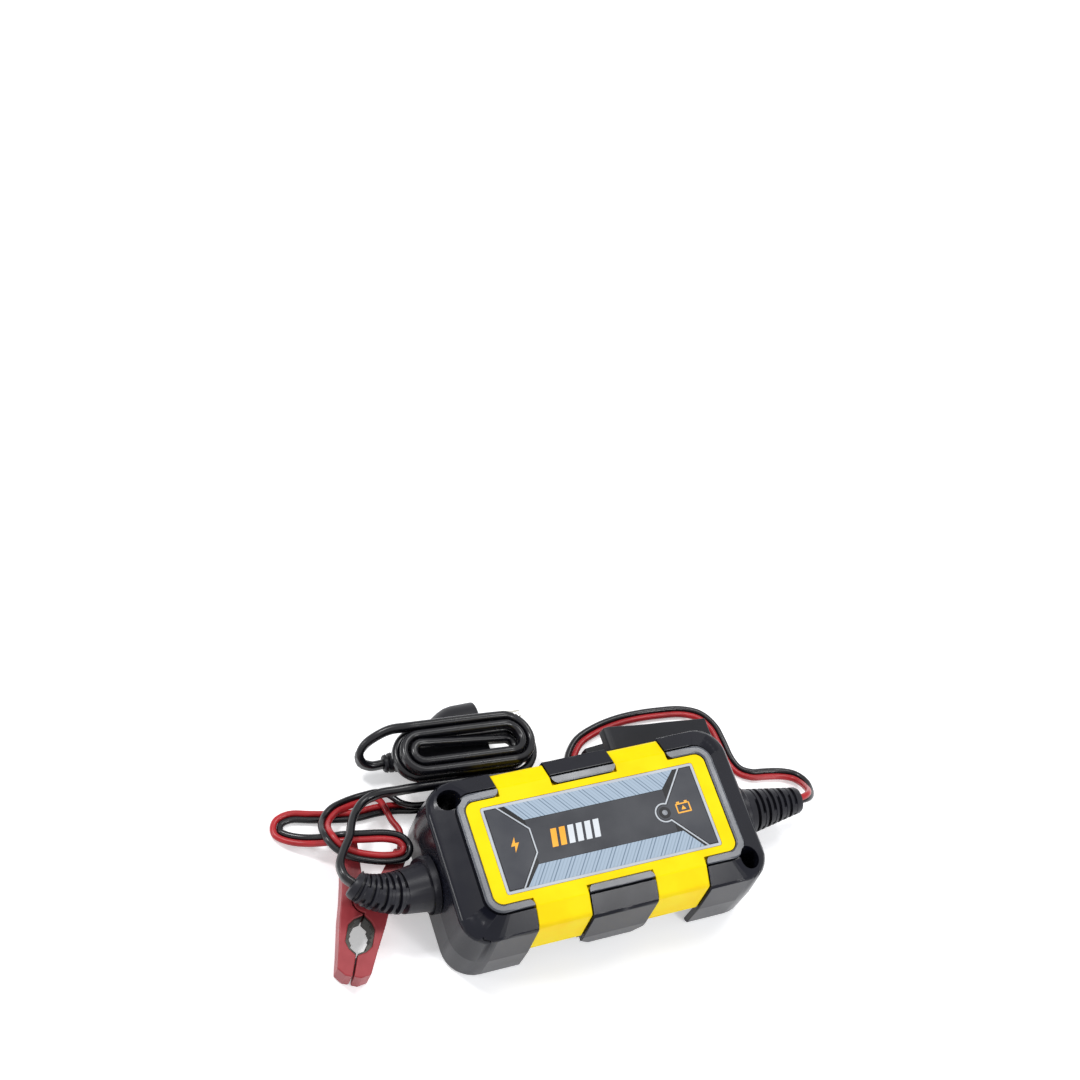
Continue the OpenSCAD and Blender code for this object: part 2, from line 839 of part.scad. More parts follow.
// Route of the twin lead: x, y, z and roll, where a roll of 90 stands it on edge
lead_route = [
    [91, 0, 17, 90], [95, 0.6, 16.2, 70], [98.8, 2.6, 13, 40], [101.6, 6, 8.6, 20], [102.8, 10.6, 4.8, 0],
    [101, 14.8, 2.4, 0], [96.4, 17.2, 1.5, 0], [90, 18.6, 1.3, 0], [84, 19.6, 1.3, 0], [79.2, 22.6, 1.3, 0],
    [77, 28, 1.3, 0], [76.4, 36, 1.3, 0], [75.4, 43, 1.3, 0], [71.6, 49, 1.3, 0], [64.5, 52.4, 1.3, 0],
    [55, 53.8, 1.3, 0], [45, 54.4, 1.3, 0], [35.5, 54, 1.3, 0], [26, 52.2, 1.3, 0], [17.8, 49, 1.3, 0],
    [12.8, 44, 1.3, 0], [10, 38.8, 1.3, 0], [5.4, 35.6, 1.9, 40], [-1, 34.6, 2.5, 90], [-12, 34.5, 2.5, 90],
    [-24, 34.5, 2.5, 90], [-36, 34.5, 2.5, 90], [-48, 34.5, 2.5, 90], [-55, 35.2, 1.9, 40],
    [-62, 37.4, 1.3, 0], [-70, 38.2, 1.3, 0], [-79, 38, 1.3, 0], [-88, 39.4, 1.3, 0], [-96, 41.2, 1.3, 0],
    [-103, 42.8, 1.3, 0], [-108, 41.4, 1.4, 0], [-109.4, 37.4, 2, 0], [-106, 34, 3, 0], [-100.4, 31, 5, 0],
    [-94.4, 28.4, 8.8, 0], [-88.6, 26.6, 12.2, 0], [-81, 25, 12.9, 0], [-73, 23.4, 12.9, 0],
    [-68, 21, 12.9, 0], [-66.4, 17.4, 12.9, 0], [-68.4, 14.6, 12.9, 0], [-74, 14.6, 12.9, 0],
    [-81, 16.4, 13.2, 0], [-87.2, 19.2, 13.4, 0], [-91.6, 23.4, 13.2, 0], [-93.6, 28.4, 12.6, 0],
    [-93.2, 33.4, 8.6, 0], [-91, 37.4, 5.4, 0], [-87.2, 40.6, 4.5, 0], [-81.4, 42.8, 2.6, 0], [-76, 44, 1.3, 0], [-72, 44.2, 1.3, 0]
];
lead_end = xyz(lead_route[len(lead_route) - 1]);
red_start = lead_end + [0, -core_d / 2, 0];
black_start = lead_end + [0, core_d / 2, 0];

module battery_lead_twin() {
    color(CORD_BLACK)
        tube(lead_route, lead_w, lead_t, 8);
}

// ---- clamps ----------------------------------------------------------------------------------

red_pivot = [-86, 2, 0];
red_turn = 245;
ear_r = 5;
ear_t = 1.9;
ear_gap = 0.3;
inner_ear_t = 1;
jaw_gap = 0.3;
nose_w = 6.2;
ray = 17;
handle_inner_w = handle_l * tan(ray) + jaw_gap;
wire_w = (handle_half_w + handle_inner_w) / 2;
black_tilt = atan((handle_half_w - nose_w) / (handle_l + jaw_l - 4));
black_pivot = [40, half_w + 0.6, (handle_half_w - (handle_l - 2) * tan(black_tilt)) * cos(black_tilt) + 0.05];
throat_half_w = 5;

// Outline of one half of a clamp: nose at +X, handle at -X, on the side of +Y
module clamp_half_2d() {
    offset(r = 0.8, $fn = 16)
        offset(delta = -0.8)
            polygon([
                [jaw_l, jaw_gap], [jaw_l, 3], [jaw_l - 2, nose_w], [jaw_l - 9.5, nose_w + 0.8],
                [8, clamp_half_w - 0.6], [0, clamp_half_w], [-8, clamp_half_w + 1],
                [2 - handle_l, handle_half_w], [-handle_l, handle_half_w - 1], [-handle_l, handle_inner_w],
                [-4, 4 * tan(ray) + jaw_gap], [0, jaw_gap]
            ]);
}

// The eye-shaped opening behind the nose, drawn in by inset
module throat_2d(inset) {
    offset(delta = -inset)
        polygon([
            [5.8, 0], [8, 3.2], [10.5, throat_half_w], [17, throat_half_w], [19.5, 3.2], [21.5, 0],
            [19.5, -3.2], [17, -throat_half_w], [10.5, -throat_half_w], [8, -3.2]
        ]);
}

module hinge_bore(play) {
    translate([0, 0, -1])
        cylinder(h = clamp_t + 2, r = hinge_pin_r + play, $fn = 32);
}

// The half that lies still: two outer ears, open between them
module clamp_fixed() {
    difference() {
        union() {
            linear_extrude(clamp_t)
                difference() {
                    clamp_half_2d();
                    throat_2d(0);
                }
            for (z = [0, clamp_t - ear_t])
                translate([0, 0, z])
                    cylinder(h = ear_t, r = ear_r, $fn = 48);
        }
        translate([0, 0, ear_t])
            cylinder(h = clamp_t - 2 * ear_t, r = ear_r + 0.4, $fn = 48);
        hinge_bore(0);
    }
}

// The half that opens: two inner ears between the outer ones, room for the spring between them
module clamp_moving() {
    low = ear_t + ear_gap;
    difference() {
        union() {
            difference() {
                translate([0, 0, ear_gap])
                    linear_extrude(clamp_t - 2 * ear_gap)
                        scale([1, -1])
                            difference() {
                                clamp_half_2d();
                                throat_2d(0);
                            }
                for (z = [-1, clamp_t - low])
                    translate([0, 0, z])
                        cylinder(h = low + 1, r = ear_r + 0.4, $fn = 48);
            }
            for (z = [low, clamp_t - low - inner_ear_t])
                translate([0, 0, z])
                    cylinder(h = inner_ear_t, r = ear_r, $fn = 48);
        }
        translate([0, 0, low + inner_ear_t])
            cylinder(h = clamp_t - 2 * (low + inner_ear_t), r = ear_r + 0.4, $fn = 48);
        hinge_bore(hinge_play);
    }
}

function tooth_line() = [[8.9, 2.9], [11.1, 4.3], [16.4, 4.3], [18.6, 2.9]];
function between(a, b, t) = a + (b - a) * t;

// Toothed plate that lines one side of the throat
module tooth_plate(side) {
    line = tooth_line();
    translate([0, 0, 1])
        linear_extrude(clamp_t - 2)
            scale([1, side])
                intersection() {
                    union() {
                        difference() {
                            throat_2d(0);
                            throat_2d(tooth_plate_t);
                        }
                        for (i = [0:2])
                            for (t = i == 1 ? [0, 0.33, 0.66, 1] : [0.33, 0.66])
                                translate(between(line[i], line[i + 1], t))
                                    rotate(45)
                                        square(1.1, center = true);
                    }
                    throat_2d(0);
                    translate([0, jaw_gap])
                        square([2 * jaw_l, jaw_l]);
                }
}

module clamp_pin() {
    cylinder(h = clamp_t, r = hinge_pin_r, $fn = 32);
    translate([0, 0, clamp_t])
        cylinder(h = 0.6, r = hinge_pin_r + 1.1, $fn = 32);
}

spring_curls = 2.66;
spring_pitch = 1.15;
leg_run = [-12, 2.7];

// Route of the torsion spring: a leg, the curls round the pin, and the other leg
function spring_route() =
    let (from = atan2(leg_run[1], -leg_run[0]) + 90, sweep = 2 * from + 720, steps = round(spring_curls * 8),
        low = clamp_t / 2 - spring_pitch * spring_curls / 2, high = clamp_t - low)
    concat(
        [[leg_run[0], -leg_run[1], high], [-7, spring_r * 0.05, high]],
        [for (i = [0:steps])
            [spring_r * cos(from - sweep * i / steps), spring_r * sin(from - sweep * i / steps),
                high + (low - high) * i / steps]],
        [[-7, -spring_r * 0.05, low], [leg_run[0], leg_run[1], low]]);

module clamp_spring() {
    tube(spring_route(), 2 * spring_wire_r, 2 * spring_wire_r, 6);
}

module at_red_clamp() {
    translate(red_pivot)
        rotate([0, 0, red_turn])
            children();
}

module at_black_clamp() {
    translate(black_pivot)
        rotate([0, black_tilt, 0])
            rotate([-90, 0, 0])
                children();
}

module red_clamp_body() {
    color(RED)
        at_red_clamp()
            clamp_fixed();
}

module red_clamp_jaw() {
    color(RED)
        at_red_clamp()
            clamp_moving();
}

module red_clamp_teeth_fixed() {
    color(STEEL)
        at_red_clamp()
            tooth_plate(1);
}

module red_clamp_teeth_moving() {
    color(STEEL)
        at_red_clamp()
            tooth_plate(-1);
}

module red_clamp_pin() {
    color(STEEL)
        at_red_clamp()
            clamp_pin();
}

module red_clamp_spring() {
    color(STEEL)
        at_red_clamp()
            clamp_spring();
}

module black_clamp_body() {
    color(BLACK)
        at_black_clamp()
            clamp_fixed();
}

module black_clamp_jaw() {
    color(BLACK)
        at_black_clamp()
            clamp_moving();
}

module black_clamp_teeth_fixed() {
    color(STEEL)
        at_black_clamp()
            tooth_plate(1);
}

module black_clamp_teeth_moving() {
    color(STEEL)
        at_black_clamp()
            tooth_plate(-1);
}

module black_clamp_pin() {
    color(STEEL)
        at_black_clamp()
            clamp_pin();
}

module black_clamp_spring() {
    color(STEEL)
        at_black_clamp()
            clamp_spring();
}

// Where a core enters the end of the handle that lies still
red_entry = red_pivot + [-handle_l * cos(red_turn) - wire_w * sin(red_turn),
    -handle_l * sin(red_turn) + wire_w * cos(red_turn), clamp_t / 2];
red_away = [-cos(red_turn), -sin(red_turn), 0];
black_entry = black_pivot + [-handle_l * cos(black_tilt) - wire_w * sin(black_tilt), clamp_t / 2,
    handle_l * sin(black_tilt) - wire_w * cos(black_tilt)];
black_away = [-cos(black_tilt), 0, sin(black_tilt)];

red_core_route = [
    red_start, red_start + [2.5, 0, 0.4], [-68.2, 41, 3], [-67.6, 37.4, 4.3], [-66.6, 32, 4.6],
    [-65, 27, 5.2], red_entry + red_away * 4, red_entry
];
black_core_route = [
    black_start, black_start + [2.5, 0, 0.3], [-66.6, 44.4, 2.6], [-64, 41.4, 4.4], [-61.4, 37.6, 5.6],
    [-56.6, 35, 6.6], [-48, 34.4, 6.7], [-36, 34.4, 6.7], [-24, 34.4, 6.7], [-12, 34.4, 6.7],
    [-1, 34.4, 6.7], [6, 35, 6.5], [11.4, 37.4, 5], black_entry + black_away * 3, black_entry
];

module battery_lead_red() {
    color(WIRE_RED)
        tube(red_core_route, core_d, core_d, 8);
}

module battery_lead_black() {
    color(CORD_BLACK)
        tube(black_core_route, core_d, core_d, 8);
}

front_housing();
rear_housing();
end_bumper_left();
end_bumper_right();
clip_front();
clip_rear();
label_plate();
led_lens();
circuit_board();
transformer_core();
transformer_winding();
mains_capacitor();
output_capacitor();
bridge_rectifier();
power_transistor();
heat_sink();
fuse();
case_screws();
board_screws();
strain_relief_left();
strain_relief_right();
mains_cord_start();
mains_cord_hank();
mains_cord_end();
plug_body();
plug_pins();
battery_lead_twin();
battery_lead_red();
battery_lead_black();
red_clamp_body();
red_clamp_jaw();
red_clamp_teeth_fixed();
red_clamp_teeth_moving();
red_clamp_pin();
red_clamp_spring();
black_clamp_body();
black_clamp_jaw();
black_clamp_teeth_fixed();
black_clamp_teeth_moving();
black_clamp_pin();
black_clamp_spring();
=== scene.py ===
"""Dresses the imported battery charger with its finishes, cords, printed label and studio.

Sizes are in millimetres and become metres when a mesh is finished. The case lies on its back with
its long side along X, and the origin is under its middle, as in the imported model.
"""

import functools
import logging
import math
from collections.abc import Sequence
from dataclasses import dataclass, field
from enum import Enum, IntEnum

import bmesh
import bpy
from bmesh.types import BMEdge, BMesh, BMLayerItem, BMVert
from bpy.types import ID, Material, Node, NodeSocket, NodeTree, Object
from mathutils import Matrix, Vector


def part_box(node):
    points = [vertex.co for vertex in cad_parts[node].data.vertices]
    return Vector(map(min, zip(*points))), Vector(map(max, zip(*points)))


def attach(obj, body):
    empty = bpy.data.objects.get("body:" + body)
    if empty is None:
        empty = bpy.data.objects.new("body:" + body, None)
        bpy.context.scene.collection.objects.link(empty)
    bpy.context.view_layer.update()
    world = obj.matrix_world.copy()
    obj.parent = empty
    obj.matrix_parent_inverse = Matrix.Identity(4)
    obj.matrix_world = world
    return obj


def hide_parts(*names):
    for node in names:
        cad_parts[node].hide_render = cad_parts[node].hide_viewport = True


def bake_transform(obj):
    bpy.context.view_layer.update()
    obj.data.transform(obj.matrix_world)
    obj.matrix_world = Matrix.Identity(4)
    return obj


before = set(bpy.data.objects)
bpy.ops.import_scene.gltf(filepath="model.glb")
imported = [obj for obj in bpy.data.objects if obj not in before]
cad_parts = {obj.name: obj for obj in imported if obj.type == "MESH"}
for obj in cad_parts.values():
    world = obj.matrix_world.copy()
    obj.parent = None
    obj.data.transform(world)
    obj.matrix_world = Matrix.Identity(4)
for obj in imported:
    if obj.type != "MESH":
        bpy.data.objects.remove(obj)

LOG = logging.getLogger("battery_charger")
MM = 0.001
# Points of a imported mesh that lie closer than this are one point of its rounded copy
MERGE_MM = 0.04
# Faces of that copy that turn by less than this many degrees become one face
FLAT_DEG = 0.6
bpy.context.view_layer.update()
Place = tuple[float, float]
Point = tuple[float, float, float]
RoutePoint = tuple[float, float, float, float]
Route = list[tuple[Vector, float]]
Outline = list[Place]


class Body(Enum):
    """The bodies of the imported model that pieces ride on."""

    CASE = "case"
    RED_JAW = "red_jaw"
    BLACK_JAW = "black_jaw"


class Side(Enum):
    """The end of the case, as its sign along X."""

    LEFT = -1
    RIGHT = 1


class Print(IntEnum):
    """The printed layers of the label, as their number above its film."""

    GROUND = 1
    CENTRE = 2
    BAND = 3
    LINE = 4
    PANEL = 5
    SYMBOL = 6
    MARK = 7


# ---- finishes ----


def linear(colour: str) -> tuple[float, float, float, float]:
    """Turns an sRGB hex colour into linear RGBA.

    Args:
        colour: Six hex digits after a hash sign.

    Returns:
        Linear red, green, blue and an alpha of one.
    """
    parts = [int(colour[i : i + 2], 16) / 255 for i in (1, 3, 5)]
    red, green, blue = (
        p / 12.92 if p <= 0.04045 else ((p + 0.055) / 1.055) ** 2.4 for p in parts
    )
    return red, green, blue, 1.0


def connect(tree: NodeTree, node: Node, inputs: dict) -> None:
    """Sets or links inputs of a node.

    Args:
        tree: The node tree of the material or world.
        node: The node in it.
        inputs: Value, output socket or node (its first output) for each input's name or number.
    """
    for key, value in inputs.items():
        if isinstance(value, Node):
            value = value.outputs[0]
        if isinstance(value, NodeSocket):
            tree.links.new(value, node.inputs[key])
        else:
            node.inputs[key].default_value = value


def add_node(tree: NodeTree, kind: str, inputs: dict | None = None, **settings: object) -> Node:
    """Adds one shader node with its settings and links.

    Args:
        tree: The node tree of the material or world.
        kind: The name of the node's type, as nodes.new takes it.
        inputs: What goes into its inputs, as for connect.
        **settings: Attributes of the node itself.

    Returns:
        The new node.
    """
    node = tree.nodes.new(kind)
    for key, value in settings.items():
        setattr(node, key, value)
    connect(tree, node, inputs or {})
    return node


def colour_ramp(node: Node, stops: Sequence[tuple[float, str]]) -> Node:
    """Gives a colour ramp node its stops.

    Args:
        node: The colour ramp node.
        stops: Place and sRGB hex colour of each stop.

    Returns:
        The same node.
    """
    elements = node.color_ramp.elements
    while len(elements) < len(stops):
        elements.new(0.5)
    for element, (place, colour) in zip(elements, stops):
        element.position = place
        element.color = linear(colour)
    return node


def feature(size_mm: float) -> float:
    """Scale of a texture whose features are size_mm wide."""
    return 1 / (size_mm * MM)


def new_material(name: str) -> tuple[Material, NodeTree, Node, NodeSocket]:
    """Starts a node material.

    Args:
        name: Name of the material.

    Returns:
        The material, its tree and Principled shader, and the Object coordinates for patterns.
    """
    material = bpy.data.materials.new(name)
    material.use_nodes = True
    tree = material.node_tree
    place = add_node(tree, "ShaderNodeTexCoord").outputs["Object"]
    return material, tree, tree.nodes["Principled BSDF"], place


@dataclass(frozen=True)
class MouldedPlastic:
    """Injection moulded plastic: an even colour, a spark-eroded grain and soft sheen patches."""

    name: str
    colour: str
    shade: str
    roughness: float
    ior: float = 1.54
    grain_mm: float = 0.35
    grain_depth_mm: float = 0.012
    sheen_spread: float = 0.08
    gloss: float = 0.5
    flow_mm: float = 14.0
    grain_strength: float = 0.35

    def build(self) -> Material:
        """Makes the material."""
        material, tree, shader, place = new_material(self.name)
        flow = add_node(tree, "ShaderNodeTexNoise", {
            "Vector": place, "Scale": feature(self.flow_mm), "Detail": 3.0})
        ramp = add_node(tree, "ShaderNodeValToRGB", {"Fac": flow})
        tone = colour_ramp(ramp, [(0.3, self.shade), (0.6, self.colour)])
        sheen = add_node(tree, "ShaderNodeMapRange", {
            "Value": flow, "From Min": 0.3, "From Max": 0.7,
            "To Min": self.roughness + self.sheen_spread / 2,
            "To Max": self.roughness - self.sheen_spread / 2})
        grain = add_node(tree, "ShaderNodeTexNoise", {
            "Vector": place, "Scale": feature(self.grain_mm), "Detail": 2.0})
        bump = add_node(tree, "ShaderNodeBump", {
            "Height": grain, "Strength": self.grain_strength,
            "Distance": self.grain_depth_mm * MM})
        connect(tree, shader, {
            "Base Color": tone, "Roughness": sheen, "Normal": bump, "IOR": self.ior,
            "Specular IOR Level": self.gloss})
        return material


@dataclass(frozen=True)
class PlatedMetal:
    """Bare or plated metal with fine marks from drawing, stamping or rolling."""

    name: str
    colour: str
    stain: str
    roughness: float
    mark_mm: Point = (0.2, 0.2, 2.0)
    mark_depth_mm: float = 0.01
    mark_strength: float = 0.3
    blotch_mm: float = 4.0

    def build(self) -> Material:
        """Makes the material."""
        material, tree, shader, place = new_material(self.name)
        stretch = add_node(tree, "ShaderNodeMapping", {
            "Vector": place, "Scale": tuple(feature(m) for m in self.mark_mm)})
        marks = add_node(
            tree, "ShaderNodeTexNoise", {"Vector": stretch, "Scale": 1.0, "Detail": 4.0})
        blotch = add_node(tree, "ShaderNodeTexNoise", {
            "Vector": place, "Scale": feature(self.blotch_mm), "Detail": 3.0})
        ramp = add_node(tree, "ShaderNodeValToRGB", {"Fac": blotch})
        tone = colour_ramp(ramp, [(0.28, self.stain), (0.55, self.colour)])
        gloss = add_node(tree, "ShaderNodeMapRange", {
            "Value": marks, "To Min": self.roughness - 0.08, "To Max": self.roughness + 0.12})
        bump = add_node(tree, "ShaderNodeBump", {
            "Height": marks, "Strength": self.mark_strength,
            "Distance": self.mark_depth_mm * MM})
        connect(tree, shader, {
            "Base Color": tone, "Roughness": gloss, "Normal": bump, "Metallic": 1.0})
        return material


@dataclass(frozen=True)
class HatchedPrint:
    """Screen print on the label film: pale, with leaning hatch lines of changing weight."""

    name: str
    ground: str
    line: str
    pitch_mm: float
    lean_deg: float
    coarse_ratio: float = 3.7
    roughness: float = 0.34
    ior: float = 1.58
    gloss: float = 0.12

    def build(self) -> Material:
        """Makes the material."""
        material, tree, shader, place = new_material(self.name)
        turned = add_node(tree, "ShaderNodeMapping", {
            "Vector": place, "Rotation": (0.0, 0.0, math.radians(self.lean_deg))})
        # The wave texture's bands repeat every 2 pi / 20 units at a scale of one
        fine, coarse = (
            add_node(tree, "ShaderNodeTexWave", {
                "Vector": turned, "Scale": math.tau / 20 * feature(pitch), "Distortion": 0.0})
            for pitch in (self.pitch_mm, self.pitch_mm * self.coarse_ratio)
        )
        ramp = add_node(tree, "ShaderNodeValToRGB", {"Fac": fine.outputs["Fac"]})
        lines = colour_ramp(ramp, [(0.12, self.line), (0.34, self.ground)])
        weight = add_node(tree, "ShaderNodeMapRange", {
            "Value": coarse.outputs["Fac"], "From Min": 0.2, "From Max": 0.9,
            "To Min": 0.25, "To Max": 1.0})
        # Inputs 6 and 7 and output 2 are the colour ones of this node
        mixed = add_node(tree, "ShaderNodeMix", {
            0: weight, 6: linear(self.ground), 7: lines}, data_type="RGBA")
        connect(tree, shader, {
            "Base Color": mixed.outputs[2], "Roughness": self.roughness, "IOR": self.ior,
            "Specular IOR Level": self.gloss})
        return material


@dataclass(frozen=True)
class SolderMask:
    """Fibreglass board under green solder mask, with copper tracks showing as a raised grid."""

    name: str
    mask: str
    track: str
    pitch_mm: float = 6.0
    track_depth_mm: float = 0.03
    roughness: float = 0.3

    def build(self) -> Material:
        """Makes the material."""
        material, tree, shader, place = new_material(self.name)
        tracks = add_node(tree, "ShaderNodeTexBrick", {
            "Vector": place, "Scale": feature(self.pitch_mm), "Mortar Size": 0.05,
            "Color1": linear(self.mask), "Color2": linear(self.mask),
            "Mortar": linear(self.track)})
        bump = add_node(tree, "ShaderNodeBump", {
            "Height": tracks.outputs["Fac"], "Strength": 0.5,
            "Distance": self.track_depth_mm * MM})
        connect(tree, shader, {
            "Base Color": tracks, "Normal": bump, "Roughness": self.roughness})
        return material


Finish = MouldedPlastic | PlatedMetal | HatchedPrint | SolderMask


@functools.cache
def material_of(finish: Finish) -> Material:
    """The one material of a finish, made at its first use."""
    return finish.build()


def printed(
    name: str, colour: str, shade: str, roughness: float = 0.34, ior: float = 1.58
) -> MouldedPlastic:
    """Finish of one printed colour of the label: flat, with hardly any grain."""
    return MouldedPlastic(
        name, colour, shade, roughness, ior, grain_mm=0.25, grain_depth_mm=0.003, gloss=0.12
    )


# ABS takes a bright pigment evenly; a fine spark-eroded grain takes the mirror off it
YELLOW_ABS = MouldedPlastic("yellow_moulded_abs", "#ffe200", "#ffd800", 0.45, gloss=0.08)
# Black ABS of the frame: satin, so creases catch a bluish grey light
BLACK_ABS = MouldedPlastic(
    "black_moulded_abs", "#181922", "#13141c", 0.21, grain_mm=0.5, grain_depth_mm=0.008, gloss=0.17
)
# The frame's ridge round the face: a paler, shinier black that paints a highlight along it
RIDGE_HIGHLIGHT_ABS = MouldedPlastic(
    "black_abs_painted_highlight", "#3e434d", "#2d3139", 0.3, grain_mm=0.5, grain_depth_mm=0.006, gloss=0.6
)
# Tub of the case: the same plastic from a rougher mould
TUB_ABS = MouldedPlastic(
    "black_textured_abs", "#1a1b22", "#15161c", 0.5, grain_mm=0.6, grain_depth_mm=0.03, gloss=0.22
)
# Polycarbonate film printed on its back: flat, slightly glossy
LABEL_SILVER = printed("silver_printed_film", "#bfc4ca", "#b4b9c0")
LABEL_FIELD = printed("anthracite_printed_film", "#34363c", "#303238")
LABEL_PANEL = printed("dark_printed_film", "#3c3e44", "#373940")
LABEL_EDGE = printed("black_printed_film", "#0c0d11", "#090a0d")
LABEL_ORANGE = printed("orange_printed_ink", "#ffb848", "#f7ac3c", 0.4, 1.5)
LABEL_WHITE = printed("white_printed_ink", "#e0e4e8", "#d6dbe0", 0.4, 1.5)
BAND_UPPER = HatchedPrint("hatched_print_upper", "#a0b1c2", "#66788b", 1.2, lean_deg=-36.0)
BAND_LOWER = HatchedPrint("hatched_print_lower", "#a0b1c2", "#66788b", 1.2, lean_deg=36.0)
# Light guide of frosted acrylic, grey while it is off
FROSTED_ACRYLIC = MouldedPlastic(
    "frosted_acrylic", "#84888f", "#787c84", 0.28, 1.49, grain_mm=0.2, grain_depth_mm=0.01
)
# Plasticised PVC: soft, with a slow ripple from the extruder
CORD_PVC = MouldedPlastic(
    "black_extruded_pvc", "#111116", "#0c0c11", 0.26, 1.53,
    grain_mm=3.0, grain_depth_mm=0.05, sheen_spread=0.14, gloss=0.35,
)
CORE_PVC = MouldedPlastic(
    "red_extruded_pvc", "#b3232a", "#9c1d22", 0.32, 1.53,
    grain_mm=3.0, grain_depth_mm=0.05, sheen_spread=0.12, gloss=0.35,
)
# The same, moulded: duller, with the grain of its mould
RELIEF_PVC = MouldedPlastic(
    "black_moulded_pvc", "#1a1a22", "#14141b", 0.38, 1.53,
    grain_mm=0.5, grain_depth_mm=0.02, gloss=0.25,
)
PLUG_PVC = MouldedPlastic(
    "plug_moulded_pvc", "#18181e", "#131318", 0.45, 1.53,
    grain_mm=0.6, grain_depth_mm=0.03, gloss=0.25,
)
# Polypropylene of the clamps: waxy, with a coarse satin grain
CLAMP_RED = MouldedPlastic(
    "red_moulded_polypropylene", "#a33c42", "#8c2b31", 0.42, 1.49,
    grain_mm=0.7, grain_depth_mm=0.03, gloss=0.35,
)
CLAMP_BLACK = MouldedPlastic(
    "black_moulded_polypropylene", "#191a20", "#131419", 0.46, 1.49,
    grain_mm=0.7, grain_depth_mm=0.03, gloss=0.25,
)
# Teeth are stamped from zinc plated strip; their dark grey is painted shade for the clamp's throat
ZINC_WITH_PAINTED_SHADE = PlatedMetal("zinc_plate_painted_shade", "#4a4845", "#312e2b", 0.45)
NICKELLED_STEEL = PlatedMetal("nickelled_steel", "#c9ccd0", "#b4b6ba", 0.28)
SPRING_STEEL = PlatedMetal("drawn_spring_steel", "#b8bbc0", "#9c9fa4", 0.3, (0.1, 0.1, 0.1))
# The marks of the pins run along them, and those of the heat sink up its fins
NICKELLED_BRASS = PlatedMetal("nickelled_brass", "#d8d6cc", "#c6c2b4", 0.2, (2.0, 0.15, 0.15))
SHEET_ALUMINIUM = PlatedMetal("extruded_aluminium", "#c2c5c9", "#a9acb0", 0.38, (0.15, 0.15, 3.0))
BOARD = SolderMask("solder_mask_on_fibreglass", "#1f5a38", "#5f7f3e")
FERRITE = MouldedPlastic("sintered_ferrite", "#4a4c50", "#3c3e42", 0.6, 2.0, 0.15, 0.02)
WINDING_TAPE = MouldedPlastic("polyester_winding_tape", "#d0a63c", "#bd9430", 0.3, 1.6, 1.2, 0.06)
CAN_SLEEVE = MouldedPlastic("shrink_sleeve", "#27405f", "#20364f", 0.25, 1.5, 1.0, 0.02)
EPOXY = MouldedPlastic("moulded_epoxy", "#26272a", "#1f2022", 0.5, 1.55, 0.2, 0.01)
FUSE_CLIP = PlatedMetal("tinned_brass", "#cfcdc4", "#b9b6ac", 0.25)


# ---- mesh helpers ----


def add_object(name: str, data: ID) -> Object:
    """Adds an object with this data to the scene."""
    made = bpy.data.objects.new(name, data)
    bpy.context.scene.collection.objects.link(made)
    return made


def finish_mesh(
    bm: BMesh,
    name: str,
    finishes: Sequence[Finish],
    body: Body | None = Body.CASE,
    smooth_below: float = 32.0,
) -> Object:
    """Turns a bmesh in millimetres into a dressed piece that rides on a body.

    Args:
        bm: The mesh, which is freed.
        name: Name of the piece.
        finishes: Its finishes, in the order of the faces' material numbers.
        body: The body that it rides on, or None for a piece left on no body.
        smooth_below: Edges with a smaller angle in degrees are shaded smooth.

    Returns:
        The new object, with its place in its mesh.
    """
    bmesh.ops.scale(bm, vec=(MM, MM, MM), verts=bm.verts)
    mesh = bpy.data.meshes.new(name)
    bm.to_mesh(mesh)
    bm.free()
    mesh.shade_smooth()
    mesh.set_sharp_from_angle(angle=math.radians(smooth_below))
    for finish in finishes:
        mesh.materials.append(material_of(finish))
    piece = add_object(name, mesh)
    if body:
        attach(piece, body.value)
    LOG.info("%s: %d faces", name, len(mesh.polygons))
    return piece


def soften(piece: Object, width: float, angle: float | None = None) -> None:
    """Rounds a piece's sharp edges with a live bevel.

    Args:
        piece: The piece.
        width: Width of the bevel in millimetres.
        angle: Least angle in degrees of a rounded edge, or None where edge weights choose.
    """
    bevel = piece.modifiers.new("edge_radius", "BEVEL")
    bevel.width = width * MM
    bevel.segments = 3
    if angle is None:
        bevel.limit_method = "WEIGHT"
    else:
        bevel.limit_method, bevel.angle_limit = "ANGLE", math.radians(angle)
    bevel.harden_normals = True
    bevel.use_clamp_overlap = False


def merged_copy(node: str) -> BMesh:
    """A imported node's solid as one joined mesh with whole flat faces, in millimetres."""
    bm = bmesh.new()
    bm.from_mesh(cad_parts[node].data)
    bmesh.ops.scale(bm, vec=(1 / MM,) * 3, verts=bm.verts)
    bmesh.ops.remove_doubles(bm, verts=bm.verts, dist=MERGE_MM)
    flat = math.radians(FLAT_DEG)
    bmesh.ops.dissolve_limit(bm, angle_limit=flat, verts=bm.verts, edges=bm.edges)
    return bm


def dress(node: str, finish: Finish) -> None:
    """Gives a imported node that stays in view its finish."""
    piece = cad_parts[node]
    piece.data.materials.clear()
    piece.data.materials.append(material_of(finish))
    LOG.info("%s: %s", node, finish.name)


def arc(centre: Place, radius: float, start: float, end: float, steps: int) -> Outline:
    """Points on an arc between two angles in degrees, with both ends among them."""
    angles = [math.radians(start + (end - start) * i / steps) for i in range(steps + 1)]
    return [(centre[0] + radius * math.cos(a), centre[1] + radius * math.sin(a)) for a in angles]


